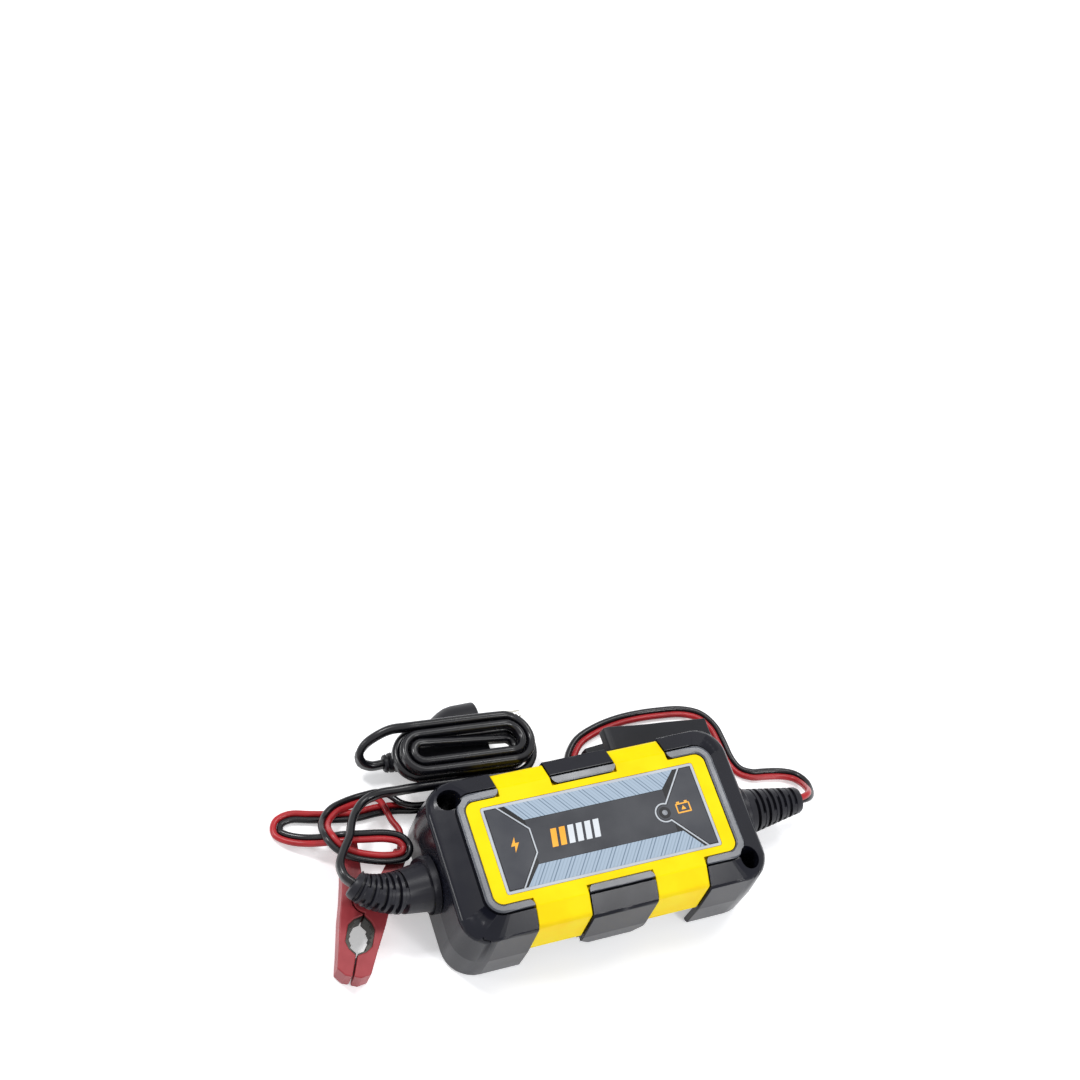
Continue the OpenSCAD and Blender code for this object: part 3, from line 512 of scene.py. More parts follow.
def inset_outline(outline: Outline, distances: Sequence[float]) -> Outline:
    """Moves each side of an outline inwards by its own distance.

    Args:
        outline: Corners in order, counterclockwise.
        distances: How far the side from each corner to the next one moves.

    Returns:
        The corners of the smaller outline.
    """
    sides = []
    for i, (a, distance) in enumerate(zip(outline, distances)):
        along = (Vector(outline[(i + 1) % len(outline)]) - Vector(a)).normalized()
        sides.append((Vector(a) + Vector((-along.y, along.x)) * distance, along))
    made = []
    for (a, u), (b, w) in zip([sides[-1], *sides[:-1]], sides):
        made.append(tuple(a + u * ((b - a).cross(w) / u.cross(w))))
    return made


def rounded_box(cx: float, cy: float, hx: float, hy: float, r: float) -> Outline:
    """Outline of a rounded rectangle of half sizes hx and hy about (cx, cy)."""
    corners = [(1, 1, 0), (-1, 1, 90), (-1, -1, 180), (1, -1, 270)]
    return [
        p
        for sx, sy, a in corners
        for p in arc((cx + sx * (hx - r), cy + sy * (hy - r)), r, a, a + 90, 4)
    ]


# ---- swept forms ----


@dataclass
class Station:
    """One ring of a swept form: its centre and its outline across and up."""

    centre: Vector
    outline: Outline
    roll: float = 0.0


def smooth_route(points: Sequence[RoutePoint], step: float) -> Route:
    """Rounds a route off through its points.

    Args:
        points: Corner points with their roll in degrees.
        step: Greatest distance between the points of the result.

    Returns:
        Centres and rolls along the smooth route.
    """
    rows = [Vector(p) for p in points]
    at = [0.0]
    for a, b in zip(rows, rows[1:]):
        at.append(at[-1] + (b.xyz - a.xyz).length)
    last = len(rows) - 1
    around = [(max(i - 1, 0), min(i + 1, last)) for i in range(last + 1)]
    slopes = [(rows[b] - rows[a]) / (at[b] - at[a]) for a, b in around]
    route = []
    for i in range(last):
        span = at[i + 1] - at[i]
        count = max(1, math.ceil(span / step))
        for k in range(count):
            t = k / count
            point = (
                rows[i] * (2 * t**3 - 3 * t**2 + 1)
                + slopes[i] * (span * (t**3 - 2 * t**2 + t))
                + rows[i + 1] * (3 * t**2 - 2 * t**3)
                + slopes[i + 1] * (span * (t**3 - t**2))
            )
            route.append((point.xyz, point.w))
    return [*route, (rows[last].xyz, rows[last].w)]


def axes_at(stations: Sequence[Station], i: int) -> tuple[Vector, Vector]:
    """The directions across and up at a station, turned by its roll."""
    ahead = stations[min(i + 1, len(stations) - 1)].centre
    along = (ahead - stations[max(i - 1, 0)].centre).normalized()
    across = Vector((0, 0, 1)).cross(along).normalized()
    up = along.cross(across)
    roll = math.radians(stations[i].roll)
    c, s = math.cos(roll), math.sin(roll)
    return across * c + up * s, up * c - across * s


def sweep(stations: Sequence[Station]) -> BMesh:
    """Extrudes a ring along stations and closes both ends.

    Args:
        stations: The rings, all with the same number of outline points.

    Returns:
        A closed mesh in millimetres.
    """
    bm = bmesh.new()
    count = len(stations[0].outline)
    ring = list(bmesh.ops.create_circle(bm, cap_ends=True, radius=1, segments=count)["verts"])
    edges = list(bm.edges)
    for i, station in enumerate(stations):
        if i:
            grown = bmesh.ops.extrude_edge_only(bm, edges=edges)["geom"]
            fresh = {v for v in grown if isinstance(v, BMVert)}
            edges = [e for e in grown if isinstance(e, BMEdge) and set(e.verts) <= fresh]
            ring = [
                next(e.other_vert(v) for e in v.link_edges if e.other_vert(v) in fresh)
                for v in ring
            ]
        across, up = axes_at(stations, i)
        for vert, (x, y) in zip(ring, station.outline):
            vert.co = station.centre + across * x + up * y
    bmesh.ops.holes_fill(bm, edges=edges)
    bmesh.ops.recalc_face_normals(bm, faces=bm.faces)
    return bm


def flat_oval(rx: float, ry: float, count: int) -> Outline:
    """Oval of half sizes rx and ry with flat long sides and round ends, or a circle."""
    turns = [math.tau * (k + 0.5) / count for k in range(count)]
    r = min(rx, ry)
    return [
        (math.copysign(rx - r, math.cos(a)) + r * math.cos(a),
         math.copysign(ry - r, math.sin(a)) + r * math.sin(a))
        for a in turns
    ]


def twin_outline(
    width: float, height: float, waist: float, count: int, spread: float = 0.16
) -> Outline:
    """Outline of two cores side by side, with a groove waist deep where they join."""
    return [
        (x - math.copysign(waist * math.exp(-((y / (spread * height)) ** 2)), x), y)
        for x, y in flat_oval(width / 2, height / 2, count)
    ]


# ---- cords ----


@dataclass
class MainsCord:
    """Flat twin mains cord: out of the left strain relief, through a wound hank, to the plug."""

    thick: float = 3.2
    height: float = 4.8
    waist: float = 0.3
    points: int = 20
    step: float = 1.4
    tip: Point = (-92.5, 5.0, 23.0)
    radius: float = 12.2
    pitch: float = 3.7
    layer: float = 5.5
    rings: int = 24
    half: int = 60
    last: int = 109
    left: Place = (-52.0, 50.0)
    right: Place = (-18.0, 47.5)
    base: float = 14.2
    droop: float = 3.0
    lead_in: Place = (-4.4, 0.3)

    def hank_point(self, m: int) -> Point:
        """Place of ring m of the hank, on its left or right bend.

        Args:
            m: Number of the ring, from 0 to last.

        Returns:
            Its centre.
        """
        per_bend = self.rings // 2
        bend, at = divmod(m - 1, per_bend)
        inward = m if m <= self.half else 2 * self.half + 1 - m
        radius = self.radius - self.pitch * inward / self.rings
        centre = self.left if bend % 2 else self.right
        lean = math.atan2(self.right[1] - self.left[1], self.right[0] - self.left[0])
        turn = lean + math.radians(180 * bend - 90 + 180 * at / (per_bend - 1))
        x = centre[0] + radius * math.cos(turn)
        y = centre[1] + radius * math.sin(turn)
        drop = self.droop * max(0.0, (x - self.right[0]) / self.radius)
        lift = self.layer if m > self.half else 0.0
        return x, y, self.base - drop + self.height / 2 + lift

    def route(self) -> Route:
        """The whole smooth route."""
        hank = [self.hank_point(m) for m in range(self.last + 1)]
        before, after = (
            (x + self.lead_in[0], y + self.lead_in[1], z) for x, y, z in (hank[0], hank[-1])
        )
        out = [
            self.tip, (-94.8, 7.7, 23.4), (-95, 13, 22.4), (-91.8, 18.6, 20), (-87.4, 24.6, 17.6),
            (-84.6, 30.3, 15), (-81.4, 35, 13), (-76.8, 38.8, 12.2), (-70.6, 40.2, 12.8),
            (-64, 39.2, 14.6), before,
        ]
        back = [
            after, (-61.5, 61.4, 21), (-66.8, 60.8, 19), (-71.2, 59.6, 15.6), (-73.3, 57.6, 12),
            (-72.4, 55.4, 8.6), (-69, 54.1, 6.95), (-67, 53.9, 6.85), (-64, 53.9, 6.85),
        ]
        return smooth_route([(*p, 0.0) for p in [*out, *hank, *back]], self.step)

    def build(self, plug_pieces: Sequence[Object]) -> None:
        """Args:
            plug_pieces: The pieces at its far end; not used.
        """
        route = self.route()
        outline = twin_outline(self.thick, self.height, self.waist, self.points)
        bm = sweep([Station(c, outline) for c, _ in route])
        cord = finish_mesh(bm, "mains_cord", [CORD_PVC], smooth_below=60)
        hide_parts("mains_cord_start", "mains_cord_hank", "mains_cord_end")


@dataclass
class BatteryLead:
    """Twin battery lead: a red and a black core side by side that part before the clamps."""

    core: float = 2.5
    points: int = 14
    step: float = 1.6
    twin: list[RoutePoint] = field(default_factory=lambda: [
        (91, 0, 17, 90), (95, 0.6, 16.2, 70), (98.8, 2.6, 13, 40), (101.6, 6, 8.6, 20),
        (102.8, 10.6, 4.8, 0), (101, 14.8, 2.4, 0), (96.4, 17.2, 1.5, 0), (90, 18.6, 1.3, 0),
        (84, 19.6, 1.3, 0), (79.2, 22.6, 1.3, 0), (77, 28, 1.3, 0), (76.4, 36, 1.3, 0),
        (75.4, 43, 1.3, 0), (71.6, 49, 1.3, 0), (64.5, 52.4, 1.3, 0), (55, 53.8, 1.3, 0),
        (45, 54.4, 1.3, 0), (35.5, 54, 1.3, 0), (26, 52.2, 1.3, 0), (17.8, 49, 1.3, 0),
        (12.8, 44, 1.3, 0), (10, 38.8, 1.3, 0), (5.4, 35.6, 1.9, 40), (-1, 34.6, 2.5, 90),
        (-12, 34.5, 2.5, 150), (-24, 34.5, 2.5, 210), (-36, 34.5, 2.5, 270),
        (-48, 34.5, 2.5, 270), (-55, 35.2, 1.9, 220), (-62, 37.4, 1.3, 180),
        (-70, 38.2, 1.3, 180), (-79, 38, 1.3, 180), (-88, 39.4, 1.3, 180),
        (-96, 41.2, 1.3, 180), (-103, 42.8, 1.3, 180), (-108, 41.4, 1.4, 180),
        (-109.4, 37.4, 2, 180), (-106, 34, 3, 180), (-100.4, 31, 5, 180),
        (-94.4, 28.4, 8.8, 180), (-88.6, 26.6, 12.2, 180), (-81, 25, 12.9, 180),
        (-73, 23.4, 12.9, 180), (-68, 21, 12.9, 180), (-66.4, 17.4, 12.9, 180),
        (-68.4, 14.6, 12.9, 180), (-74, 14.6, 12.9, 180), (-81, 16.4, 13.2, 180),
        (-87.2, 19.2, 13.4, 180), (-91.6, 23.4, 13.2, 180), (-93.6, 28.4, 12.6, 180),
        (-93.2, 33.4, 8.6, 180), (-91, 37.4, 5.4, 180), (-87.2, 40.6, 4.5, 180),
        (-81.4, 42.8, 2.6, 180), (-76, 44, 1.3, 180), (-72, 44.2, 1.3, 180),
    ])
    red_end: list[RoutePoint] = field(default_factory=lambda: [
        (-69.5, 42.95, 1.7, 0), (-68.2, 41, 3, 0), (-67.6, 37.4, 4.3, 0), (-66.6, 32, 4.6, 0),
        (-65, 27, 5.2, 0), (-66.21, 21.46, 5.25, 0), (-67.9, 17.83, 5.25, 0),
    ])
    black_end: list[RoutePoint] = field(default_factory=lambda: [
        (-69.5, 45.45, 1.6, 0), (-66.6, 44.4, 2.6, 0), (-64, 41.4, 4.4, 0), (-61.4, 37.6, 5.6, 0),
        (-56.6, 35, 6.6, 0), (-48, 34.4, 6.7, 0), (-36, 34.4, 6.7, 0), (-24, 34.4, 6.7, 0),
        (-12, 34.4, 6.7, 0), (-1, 34.4, 6.7, 0), (6, 35, 6.5, 0), (11.4, 37.4, 5, 0),
        (13.96, 38.55, 3.36, 0), (16.93, 38.55, 2.97, 0),
    ])

    def core_route(self, side: int, end: Sequence[RoutePoint]) -> Route:
        """Route of one core.

        Args:
            side: 1 or -1, the side of the twin lead that it lies on.
            end: Its points beyond the place where the cores part.

        Returns:
            Its smooth route.
        """
        stations = [Station(c, [], r) for c, r in smooth_route(self.twin, self.step)]
        beside = [
            (*(s.centre + axes_at(stations, i)[0] * (side * self.core / 2)), 0.0)
            for i, s in enumerate(stations)
        ]
        return smooth_route([*beside, *end], self.step)

    def build(self, red_clamp: Sequence[Object], black_clamp: Sequence[Object]) -> None:
        """Makes both cores.

        Args:
            red_clamp: The pieces of the clamp on the red core; not used.
            black_clamp: The pieces of the clamp on the black core; not used.
        """
        outline = flat_oval(self.core / 2, self.core / 2, self.points)
        for colour, side, end, finish, clamp in (
            ("red", 1, self.red_end, CORE_PVC, red_clamp),
            ("black", -1, self.black_end, CORD_PVC, black_clamp),
        ):
            node, route = f"battery_lead_{colour}", self.core_route(side, end)
            bm = sweep([Station(c, outline) for c, _ in route])
            cord = finish_mesh(bm, node + "_core", [finish], smooth_below=60)
            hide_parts(node, "battery_lead_twin")


@dataclass
class StrainRelief:
    """Tapered strain relief with ribs, whose grooves are bridged in turn at different places."""

    side: Side
    node: str
    wall_x: float = 62.5
    height: float = 17.0
    neck: float = 7.0
    wall_t: float = 6.0
    stop_t: float = 2.0
    stop_w: float = 2.5
    flange: float = 11.0
    flange_t: float = 3.0
    flange_edge: float = 0.5
    start: float = 2.0
    length: float = 26.5
    tip: Point = (-30.0, 5.0, 6.0)
    bend_in: Point = (-13.0, -2.0, 1.4)
    bend_out: Point = (4.6, -5.4, -0.8)
    root: float = 9.5
    end: float = 5.0
    ribs: int = 8
    points: int = 48
    rib_share: float = 0.44
    flank: float = 0.06
    ribs_end: float = 0.93
    plain_left: float = 0.3
    plain_right: float = 0.16
    groove: float = 0.2
    bridge_groove: float = 0.03
    bridge_deg: float = 24.0
    bridge_turn: float = 55.0

    def centre(self, share: float) -> Vector:
        """Place on the middle line, from 0 at the flange to 1 at the tip."""
        if self.side is Side.RIGHT:
            return Vector((self.wall_x + self.start + self.length * share, 0, self.height))
        foot = Vector((-self.wall_x, 0, self.height))
        a, d = foot - Vector((self.start, 0, 0)), foot + Vector(self.tip)
        b, c = a + Vector(self.bend_in), d + Vector(self.bend_out)
        rest = 1 - share
        return a * rest**3 + b * (3 * share * rest**2) + c * (3 * share**2 * rest) + d * share**3

    def ribbed(self, share: float, depth: float, turn: float) -> Outline:
        """Outline of one ring of the tapered part.

        Args:
            share: Its place from 0 to 1.
            depth: Share of the radius that the groove takes away.
            turn: Angle in degrees of the groove's two bridges.

        Returns:
            The points in order.
        """
        radius = self.root + (self.end - self.root) * share
        outline = []
        for k in range(self.points):
            a = math.tau * (k + 0.5) / self.points
            off = abs((math.degrees(a) - turn + 90) % 180 - 90)
            cut = depth if off > self.bridge_deg else min(depth, self.bridge_groove)
            outline.append((radius * (1 - cut) * math.cos(a), radius * (1 - cut) * math.sin(a)))
        return outline

    def stations(self) -> list[Station]:
        """All rings from the inner flange to the tip."""
        inner, outer = self.wall_x - self.wall_t, self.wall_x + self.flange_t
        stop = self.neck + self.stop_w
        shoulder = [
            (inner - self.stop_t, stop - 0.3), (inner - self.stop_t + 0.2, stop),
            (inner - 0.1, stop), (inner, self.neck),
            (self.wall_x - 0.02, self.neck), (self.wall_x, self.flange),
            (outer - self.flange_edge, self.flange), (outer, self.flange - self.flange_edge),
        ]
        made = [
            Station(Vector((self.side.value * x, 0, self.height)), flat_oval(r, r, self.points))
            for x, r in shoulder
        ]
        plain = self.plain_left if self.side is Side.LEFT else self.plain_right
        step, gap = (self.ribs_end - plain) / self.ribs, 1 - self.rib_share
        profile = ((0, 0), (self.flank, self.groove), (gap - self.flank, self.groove), (gap, 0))
        made.append(Station(self.centre(0.05), self.ribbed(0.05, 0, 0)))
        for i in range(self.ribs):
            turn = self.bridge_turn + 90 * (i % 2)
            for at, depth in profile:
                share = plain + (i + at) * step
                made.append(Station(self.centre(share), self.ribbed(share, depth, turn)))
        for share, scale in ((0.96, 1.0), (0.99, 0.94), (1.0, 0.8)):
            r = (self.root + (self.end - self.root) * share) * scale
            made.append(Station(self.centre(share), flat_oval(r, r, self.points)))
        return made

    def build(self) -> None:
        """Makes the piece."""
        bm = sweep(self.stations())
        piece = finish_mesh(bm, self.node + "_ribbed", [RELIEF_PVC])
        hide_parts(self.node)


@dataclass
class Plug:
    """Flat two-pin mains plug, moulded onto the cord, lying on its broad side."""

    face_x: float = -23.0
    y: float = 53.9
    z: float = 6.85
    half_w: float = 17.65
    half_t: float = 6.85
    points: int = 40
    grip_from: float = 9.0
    grip_length: float = 23.4
    grip_steps: int = 8
    grip_w_loss: float = 11.3
    grip_t_loss: float = 1.5
    ribs: int = 3
    ribs_from: float = 34.4
    rib_pitch: float = 2.2
    rib_r: float = 4.3
    rib_r_loss: float = 0.3
    groove: float = 0.9

    def rows(self) -> list[Point]:
        """Distance behind the face, half width and half thickness of each ring."""
        made = [
            (at, self.half_w - inset, self.half_t - inset)
            for at, inset in ((0.0, 0.6), (0.25, 0.15), (0.8, 0.0))
        ]
        for i in range(self.grip_steps + 1):
            t = i / self.grip_steps
            ease = t * t * (3 - 2 * t)
            w, h = self.half_w - self.grip_w_loss * ease, self.half_t - self.grip_t_loss * ease
            made.append((self.grip_from + self.grip_length * t, w, h))
        made += [(33.0, 4.9, 4.6), (33.6, 4.4, 4.4)]
        for i in range(self.ribs):
            at, r = self.ribs_from + self.rib_pitch * i, self.rib_r - self.rib_r_loss * i
            low = r - self.groove
            made += [(at + d, n, n) for d, n in ((0, r), (0.1, low), (0.9, low), (1.0, r - 0.1))]
        return [*made, (40.7, 3.3, 3.3), (41.0, 2.9, 2.9)]

    def build(self) -> list[Object]:
        """Makes the body, dresses the pins and returns both."""
        stations = [
            Station(Vector((self.face_x - d, self.y, self.z)), flat_oval(w, h, self.points))
            for d, w, h in self.rows()
        ]
        body = finish_mesh(sweep(stations), "plug_body_moulded", [PLUG_PVC])
        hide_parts("plug_body")
        dress("plug_pins", NICKELLED_BRASS)
        return [body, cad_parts["plug_pins"]]


# ---- case ----


@dataclass
class Case:
    """Yellow front housing, black tub, and the black frame pieces that wrap round them."""

    edge_r: float = 0.4
    edge_deg: float = 25.0
    edge_gap: float = 0.55
    shoulder: Place = (32.0, 35.0)
    shoulder_r: float = 1.6
    shoulder_deg: float = 30.0
    shoulder_gap: float = 0.3
    shoulder_area: float = 3.0
    hole: Place = (52.8, 23.55)
    hole_r: float = 7.0
    rim_r: float = 4.5
    rim_z: float = 31.0
    rim_slope: float = 0.4
    seam: float = 0.5
    ridge_z: float = 38.2
    lining_material: int = 1
    ridge_material: int = 2

    def build(self) -> None:
        """Makes every piece with rounded edges."""
        for node in ("end_bumper_left", "end_bumper_right", "clip_front", "clip_rear"):
            self.soft_copy(node, BLACK_ABS)
        self.soft_copy("front_housing", YELLOW_ABS)
        self.soft_copy("rear_housing", TUB_ABS)
        dress("case_screws", NICKELLED_STEEL)

    def weigh_edges(self, bm: BMesh) -> BMLayerItem:
        """Weighs clean convex edges for the bevel: wide along the shoulder, fine elsewhere.

        Args:
            bm: A housing or frame piece in millimetres.

        Returns:
            The layer of the weights.
        """
        weights = bm.edges.layers.float.new("bevel_weight_edge")
        for edge in bm.edges:
            if len(edge.link_faces) != 2 or not edge.is_convex:
                continue
            turn = math.degrees(edge.calc_face_angle(0))
            gap = min(e.calc_length() for v in edge.verts for e in v.link_edges)
            on_shoulder = (
                all(self.shoulder[0] < v.co.z < self.shoulder[1] for v in edge.verts)
                and turn > self.shoulder_deg
                and min(f.calc_area() for f in edge.link_faces) > self.shoulder_area
            )
            if on_shoulder and gap > self.shoulder_gap:
                edge[weights] = 1.0
            elif turn > self.edge_deg and gap > self.edge_gap:
                edge[weights] = self.edge_r / self.shoulder_r
        return weights

    def off_axis(self, vert: BMVert) -> float:
        """Distance of a point from the axis of the nearer wall hole."""
        x, y = self.hole
        return min(math.hypot(vert.co.x - s * x, vert.co.y + s * y) for s in (-1, 1))

    def line_wall_holes(self, bm: BMesh, weights: BMLayerItem) -> None:
        """Blackens the lining of both wall holes, keeps it sharp and closes its seam.

        Args:
            bm: A housing or frame piece in millimetres.
            weights: The weights of its edges.
        """
        for face in bm.faces:
            if all(self.off_axis(v) < self.hole_r for v in face.verts):
                face.material_index = self.lining_material
                for edge in face.edges:
                    edge[weights] = 0.0
        rim = [
            v for v in bm.verts
            if self.off_axis(v) < self.rim_r and v.co.z > self.rim_z
            and any(f.normal.z < -self.rim_slope for f in v.link_faces)
        ]
        bmesh.ops.translate(bm, vec=(0, 0, -self.seam), verts=rim)

    def soft_copy(self, node: str, finish: MouldedPlastic) -> None:
        """Replaces a node by a copy with rounded edges.

        Args:
            node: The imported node.
            finish: Its finish.
        """
        bm = merged_copy(node)
        self.line_wall_holes(bm, self.weigh_edges(bm))
        # Faces on top of the ridge take the paler black of the painted highlight
        for face in bm.faces:
            if all(v.co.z > self.ridge_z for v in face.verts):
                face.material_index = self.ridge_material
        finishes = [finish, BLACK_ABS, RIDGE_HIGHLIGHT_ABS]
        piece = finish_mesh(bm, node + "_moulded", finishes, smooth_below=20)
        soften(piece, self.shoulder_r)
        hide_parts(node)


@dataclass
class Label:
    """Printed label film with its fields, hatched bands, framed panels and symbols."""

    top: float = 37.9
    sunk: float = 0.05
    layer: float = 0.03
    half: Place = (42.1, 15.9)
    led: Place = (25.7, 0.0)
    led_margin: float = 3.9
    bezel_r: float = 2.3
    bolt_at: Place = (-34.6, 0.6)
    battery_at: Place = (33.6, 0.8)
    charge_bars: int = 6
    charged_bars: int = 2
    bars_x: float = -21.0
    bar_pitch: float = 3.4
    line_w: float = 0.55
    seam_w: float = 0.35

    def build(self) -> None:
        """Makes every printed area."""
        dress("label_plate", LABEL_SILVER)
        dress("led_lens", FROSTED_ACRYLIC)
        w, h = self.half
        for name, level, finish, (high, x1, x2), (low, x3, x4) in (
            ("label_field", Print.GROUND, LABEL_EDGE, (h, -w, w), (-h, -w, w)),
            ("label_centre", Print.CENTRE, LABEL_FIELD, (9.0, -28.0, 28.0), (-8.2, -28.0, 28.0)),
            ("label_band_upper", Print.BAND, BAND_UPPER, (h, -34.1, 34.6), (9.2, -28.3, 27.9)),
            ("label_band_lower", Print.BAND, BAND_LOWER, (-8.4, -28.3, 30.3), (-h, -34.7, 36.4)),
        ):
            self.area(name, [(x1, high), (x2, high), (x4, low), (x3, low)], level, finish)
        left = [(-w, h), (-w, -h), (-35.8, -h), (-27.1, -4.1), (-27.1, 5.6), (-36.7, h)]
        self.panel("label_panel_left", left, range(2, 5))
        nose = arc(self.led, self.led_margin, 68, 292, 18)
        right = [(w, -h), (w, h), (36.7, h), *nose, (37.6, -h)]
        self.panel("label_panel_right", right, range(2, len(right) - 1))
        bezel = arc(self.led, self.bezel_r, 0, 350, 35)
        self.area("indicator_bezel", bezel, Print.SYMBOL, LABEL_EDGE)
        self.battery_symbol()
        self.bolt_symbol()
        self.charge_scale()

    def area(
        self, name: str, outline: Outline, level: Print, *finishes: Finish, rim: float = 0.0
    ) -> None:
        """Makes one thin flat printed area.

        Args:
            name: Name of the piece.
            outline: Its corners, in order.
            level: Its layer above the film.
            *finishes: Finish of the whole, or of the rim and then the area inside it.
            rim: Width of the rim, or 0.
        """
        low, thick = self.top - self.sunk, self.sunk + level * self.layer
        bm = bmesh.new()
        face = bm.faces.new([bm.verts.new((x, y, low + thick)) for x, y in outline])
        bm.normal_update()
        if face.normal.z < 0:
            face.normal_flip()
        if rim:
            bmesh.ops.inset_region(
                bm, faces=[face], thickness=rim, use_boundary=True, use_even_offset=True
            )
            face.material_index = 1
        walls = bmesh.ops.extrude_edge_only(bm, edges=[e for e in bm.edges if e.is_boundary])
        lower = [v for v in walls["geom"] if isinstance(v, BMVert)]
        bmesh.ops.translate(bm, vec=(0, 0, -thick), verts=lower)
        finish_mesh(bm, name, finishes)

    def panel(self, name: str, outline: Outline, nose: range) -> None:
        """Side panel: a silver line along its nose, then a black line round a dark ground.

        Args:
            name: Name of the dark ground.
            outline: Its corners with the silver line, counterclockwise.
            nose: Numbers of the sides that have the silver line.
        """
        self.area(name + "_line", outline, Print.LINE, LABEL_SILVER)
        inner = inset_outline(
            outline, [self.line_w if i in nose else 0.0 for i in range(len(outline))]
        )
        self.area(name, inner, Print.PANEL, LABEL_EDGE, LABEL_PANEL, rim=self.seam_w)

    def battery_symbol(self) -> None:
        """Outline of a vehicle battery with its two poles and a level mark."""
        x, y = self.battery_at
        box = rounded_box(x, y - 0.4, 2.9, 2.0, 0.4)
        self.area("battery_symbol", box, Print.SYMBOL, LABEL_ORANGE, LABEL_PANEL, rim=self.line_w)
        for name, dx in (("battery_symbol_pole_left", -1.6), ("battery_symbol_pole_right", 1.6)):
            pole = rounded_box(x + dx, y + 1.9, 0.6, 0.35, 0.1)
            self.area(name, pole, Print.SYMBOL, LABEL_ORANGE)
        mark = [(x - 1.0, y - 1.1), (x + 1.0, y - 1.1), (x, y + 0.5)]
        self.area("battery_symbol_mark", mark, Print.MARK, LABEL_ORANGE)

    def bolt_symbol(self) -> None:
        """Lightning bolt, the common sign for charging."""
        x, y = self.bolt_at
        bolt = [(0.5, 3.0), (-1.7, -0.4), (-0.2, -0.4), (-0.7, -3.0), (1.7, 0.7), (0.2, 0.7)]
        outline = [(x + dx, y + dy) for dx, dy in bolt]
        self.area("bolt_symbol", outline, Print.SYMBOL, LABEL_ORANGE)

    def charge_scale(self) -> None:
        """Row of leaning bars that stand for the state of charge."""
        for i in range(self.charge_bars):
            x = self.bars_x + self.bar_pitch * i
            ink = LABEL_ORANGE if i < self.charged_bars else LABEL_WHITE
            bar = [(x, -3.4), (x + 2.3, -3.4), (x + 3.5, 3.6), (x + 1.2, 3.6)]
            self.area(f"charge_bar_{i + 1}", bar, Print.PANEL, ink)


@dataclass
class Clamp:
    """Sprung battery clamp: two plastic halves on a pin, toothed steel plates and a spring."""

    prefix: str
    finish: MouldedPlastic
    slot: str
    jaw_body: Body
    pin_axis: int
    leg_share: float = 0.19
    edge_r: float = 0.5
    sharp_deg: float = 30.0

    def build_spring(self) -> None:
        """Makes the spring as one piece that rides on no body."""
        node = f"{self.prefix}_clamp_spring"
        spring = finish_mesh(
            merged_copy(node), node + "_wound", [SPRING_STEEL], None, 60
        )
        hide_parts(node)
        low, high = (Vector(corner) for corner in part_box(node))
        legs = [(low + high) / 2, (low + high) / 2]
        for leg, share in zip(legs, (self.leg_share, 1 - self.leg_share)):
            leg[self.pin_axis] = low[self.pin_axis] * (1 - share) + high[self.pin_axis] * share
        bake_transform(spring)

    def build(self) -> list[Object]:
        """Makes and dresses its pieces, and returns those that lie still on the lead."""
        still = []
        for part, body in (("body", Body.CASE), ("jaw", self.jaw_body)):
            node = f"{self.prefix}_clamp_{part}"
            piece = finish_mesh(
                merged_copy(node), node + "_moulded", [self.finish], body,
                self.sharp_deg,
            )
            soften(piece, self.edge_r, self.sharp_deg)
            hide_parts(node)
            if body is Body.CASE:
                still.append(piece)
        # The teeth plates take the zinc whose dark grey is painted shade
        for part, finish in (
            ("teeth_fixed", ZINC_WITH_PAINTED_SHADE), ("teeth_moving", ZINC_WITH_PAINTED_SHADE), ("pin", NICKELLED_STEEL),
        ):
            dress(f"{self.prefix}_clamp_{part}", finish)
        self.build_spring()
        return [*still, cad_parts[f"{self.prefix}_clamp_teeth_fixed"]]


@dataclass
class Inside:
    """Circuit board and the components on it."""

    finishes: dict[str, Finish] = field(default_factory=lambda: {
        "circuit_board": BOARD, "transformer_core": FERRITE, "transformer_winding": WINDING_TAPE,
        "mains_capacitor": CAN_SLEEVE, "output_capacitor": CAN_SLEEVE, "bridge_rectifier": EPOXY,
        "power_transistor": EPOXY, "heat_sink": SHEET_ALUMINIUM, "fuse": FUSE_CLIP,
        "board_screws": NICKELLED_STEEL,
    })

    def build(self) -> None:
        """Dresses every component."""
        for node, finish in self.finishes.items():
            dress(node, finish)


# ---- studio ----


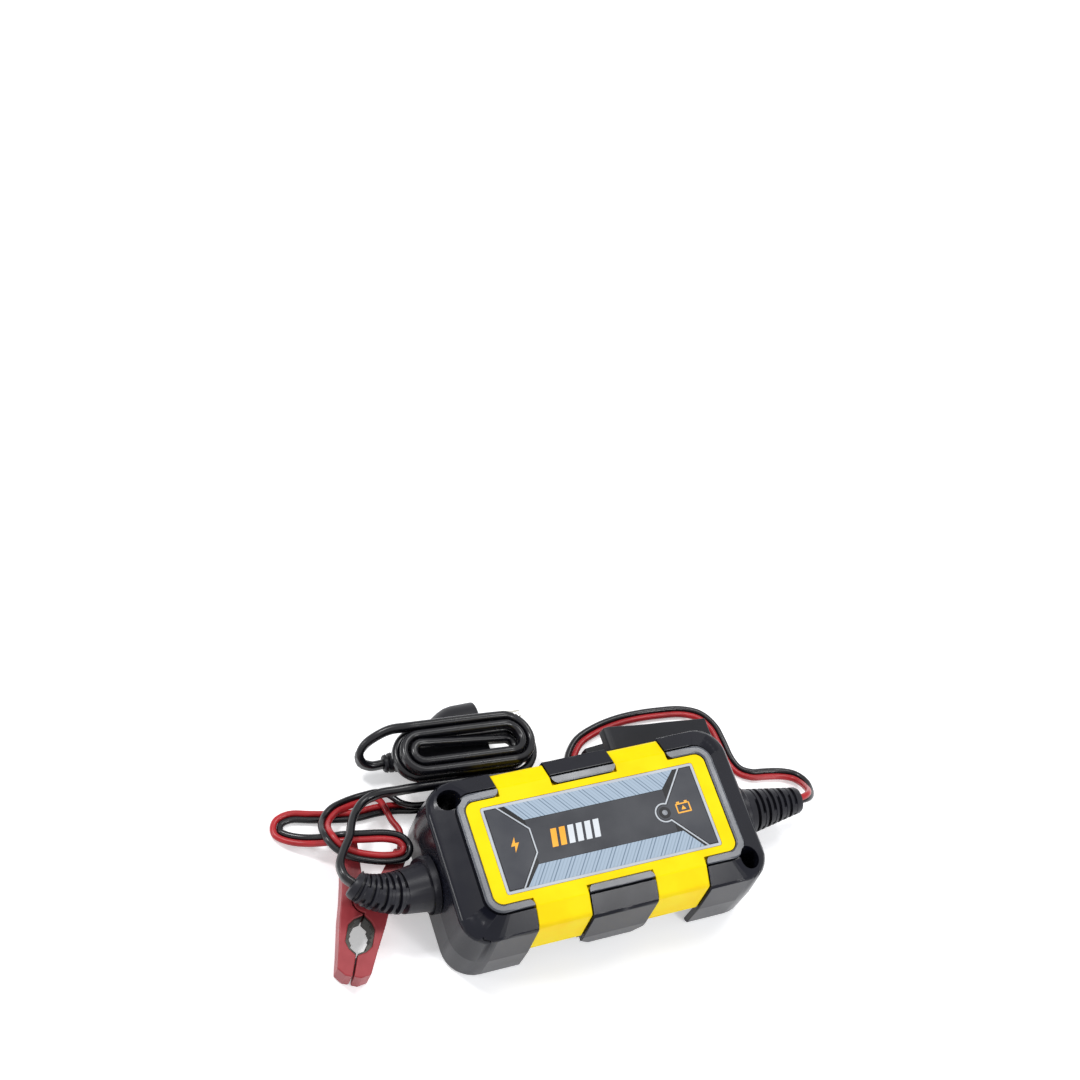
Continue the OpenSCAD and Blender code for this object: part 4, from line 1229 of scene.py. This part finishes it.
@dataclass
class Studio:
    """Camera, lamps, pale floor and white background."""

    eye: Point = (-261.76, -210.69, 678.68)
    right: Point = (0.92068, -0.30885, 0.23867)
    up: Point = (0.15321, 0.84835, 0.50679)
    lens: float = 64.616
    sensor: float = 36.0
    clip: Place = (0.01, 20.0)
    ambient: float = 0.42
    floor_glow: float = 0.42
    floor_z: float = -0.05
    floor_half: float = 3.0

    def camera(self) -> None:
        """Sets up the camera."""
        data = bpy.data.cameras.new("camera")
        data.sensor_width, data.lens = self.sensor, self.lens
        data.clip_start, data.clip_end = self.clip
        camera = add_object("camera", data)
        right, up = Vector(self.right), Vector(self.up)
        turn = Matrix((right, up, right.cross(up))).transposed().to_4x4()
        camera.matrix_world = Matrix.Translation(Vector(self.eye) * MM) @ turn
        bpy.context.scene.camera = camera

    def lamp(self, name: str, place: Point, size: float, power: float) -> None:
        """Adds an area lamp that faces the case.

        Args:
            name: Name of the lamp.
            place: Its place in metres.
            size: Its width in metres.
            power: Its power in watts.
        """
        data = bpy.data.lights.new(name, "AREA")
        data.shape, data.size, data.energy = "DISK", size, power
        lamp = add_object(name, data)
        lamp.location = place
        lamp.rotation_mode = "QUATERNION"
        lamp.rotation_quaternion = (-Vector(place)).to_track_quat("-Z", "Y")

    def white_rays(self, tree: NodeTree) -> Node:
        """One where the camera, a reflection or a refraction looks, and otherwise none."""
        path = add_node(tree, "ShaderNodeLightPath")
        white = path.outputs["Is Camera Ray"]
        for kind in ("Is Glossy Ray", "Is Transmission Ray"):
            white = add_node(
                tree, "ShaderNodeMath", {0: white, 1: path.outputs[kind]}, operation="MAXIMUM")
        return white

    def background(self) -> None:
        """White to look at, and a plain grey to light by."""
        world = bpy.data.worlds.new("white_surround")
        world.use_nodes = True
        tree = world.node_tree
        tree.nodes.clear()
        soft = add_node(tree, "ShaderNodeBackground", {
            "Color": linear("#e8ebf0"), "Strength": self.ambient})
        white = add_node(tree, "ShaderNodeBackground", {"Color": (1, 1, 1, 1), "Strength": 1.0})
        mixed = add_node(tree, "ShaderNodeMixShader", {0: self.white_rays(tree), 1: soft, 2: white})
        add_node(tree, "ShaderNodeOutputWorld", {"Surface": mixed})
        bpy.context.scene.world = world

    def floor(self) -> None:
        """Pale floor that keeps the object's shadow."""
        bm = bmesh.new()
        bmesh.ops.create_grid(bm, x_segments=8, y_segments=8, size=self.floor_half)
        bmesh.ops.translate(bm, vec=(0, 0, self.floor_z * MM), verts=bm.verts)
        mesh = bpy.data.meshes.new("floor")
        bm.to_mesh(mesh)
        bm.free()
        material, tree, shader, place = new_material("white_studio_floor")
        cloud = add_node(tree, "ShaderNodeTexNoise", {"Vector": place, "Scale": 6.0})
        ramp = add_node(tree, "ShaderNodeValToRGB", {"Fac": cloud})
        tone = colour_ramp(ramp, [(0.3, "#f4f4f6"), (0.7, "#f7f7f8")])
        connect(tree, shader, {"Base Color": tone, "Roughness": 0.5})
        glow = add_node(tree, "ShaderNodeEmission", {
            "Color": (1, 1, 1, 1), "Strength": self.floor_glow})
        black = add_node(tree, "ShaderNodeEmission", {"Color": (0, 0, 0, 1), "Strength": 0.0})
        seen = add_node(tree, "ShaderNodeMixShader", {0: self.white_rays(tree), 1: black, 2: glow})
        both = add_node(tree, "ShaderNodeAddShader", {0: shader, 1: seen})
        connect(tree, tree.nodes["Material Output"], {"Surface": both})
        mesh.materials.append(material)
        add_object("floor", mesh)

    def build(self) -> None:
        """Sets up everything but the object."""
        bpy.context.scene.view_settings.view_transform = "Standard"
        self.camera()
        self.background()
        self.floor()
        self.lamp("key_lamp", (-0.4, 0.45, 0.8), 0.16, 4.0)
        self.lamp("fill_lamp", (0.36, -0.55, 0.8), 0.16, 2.4)
        self.lamp("rear_lamp", (0.35, 0.28, 0.9), 0.3, 2.6)
        self.lamp("front_strip", (0.36, -0.88, 0.26), 0.2, 1.6)
        self.lamp("left_strip", (-0.9, 0.28, 0.35), 0.2, 1.2)


def main() -> None:
    """Builds the studio and then every sub-assembly."""
    logging.basicConfig(level=logging.INFO, format="%(name)s %(message)s")
    Studio().build()
    plug = Plug().build()
    MainsCord().build(plug)
    red = Clamp("red", CLAMP_RED, "clamp_red", Body.RED_JAW, 2).build()
    black = Clamp("black", CLAMP_BLACK, "clamp_black", Body.BLACK_JAW, 1).build()
    BatteryLead().build(red, black)
    StrainRelief(Side.LEFT, "strain_relief_left").build()
    StrainRelief(Side.RIGHT, "strain_relief_right").build()
    Case().build()
    Label().build()
    Inside().build()


if __name__ == "__main__":
    main()
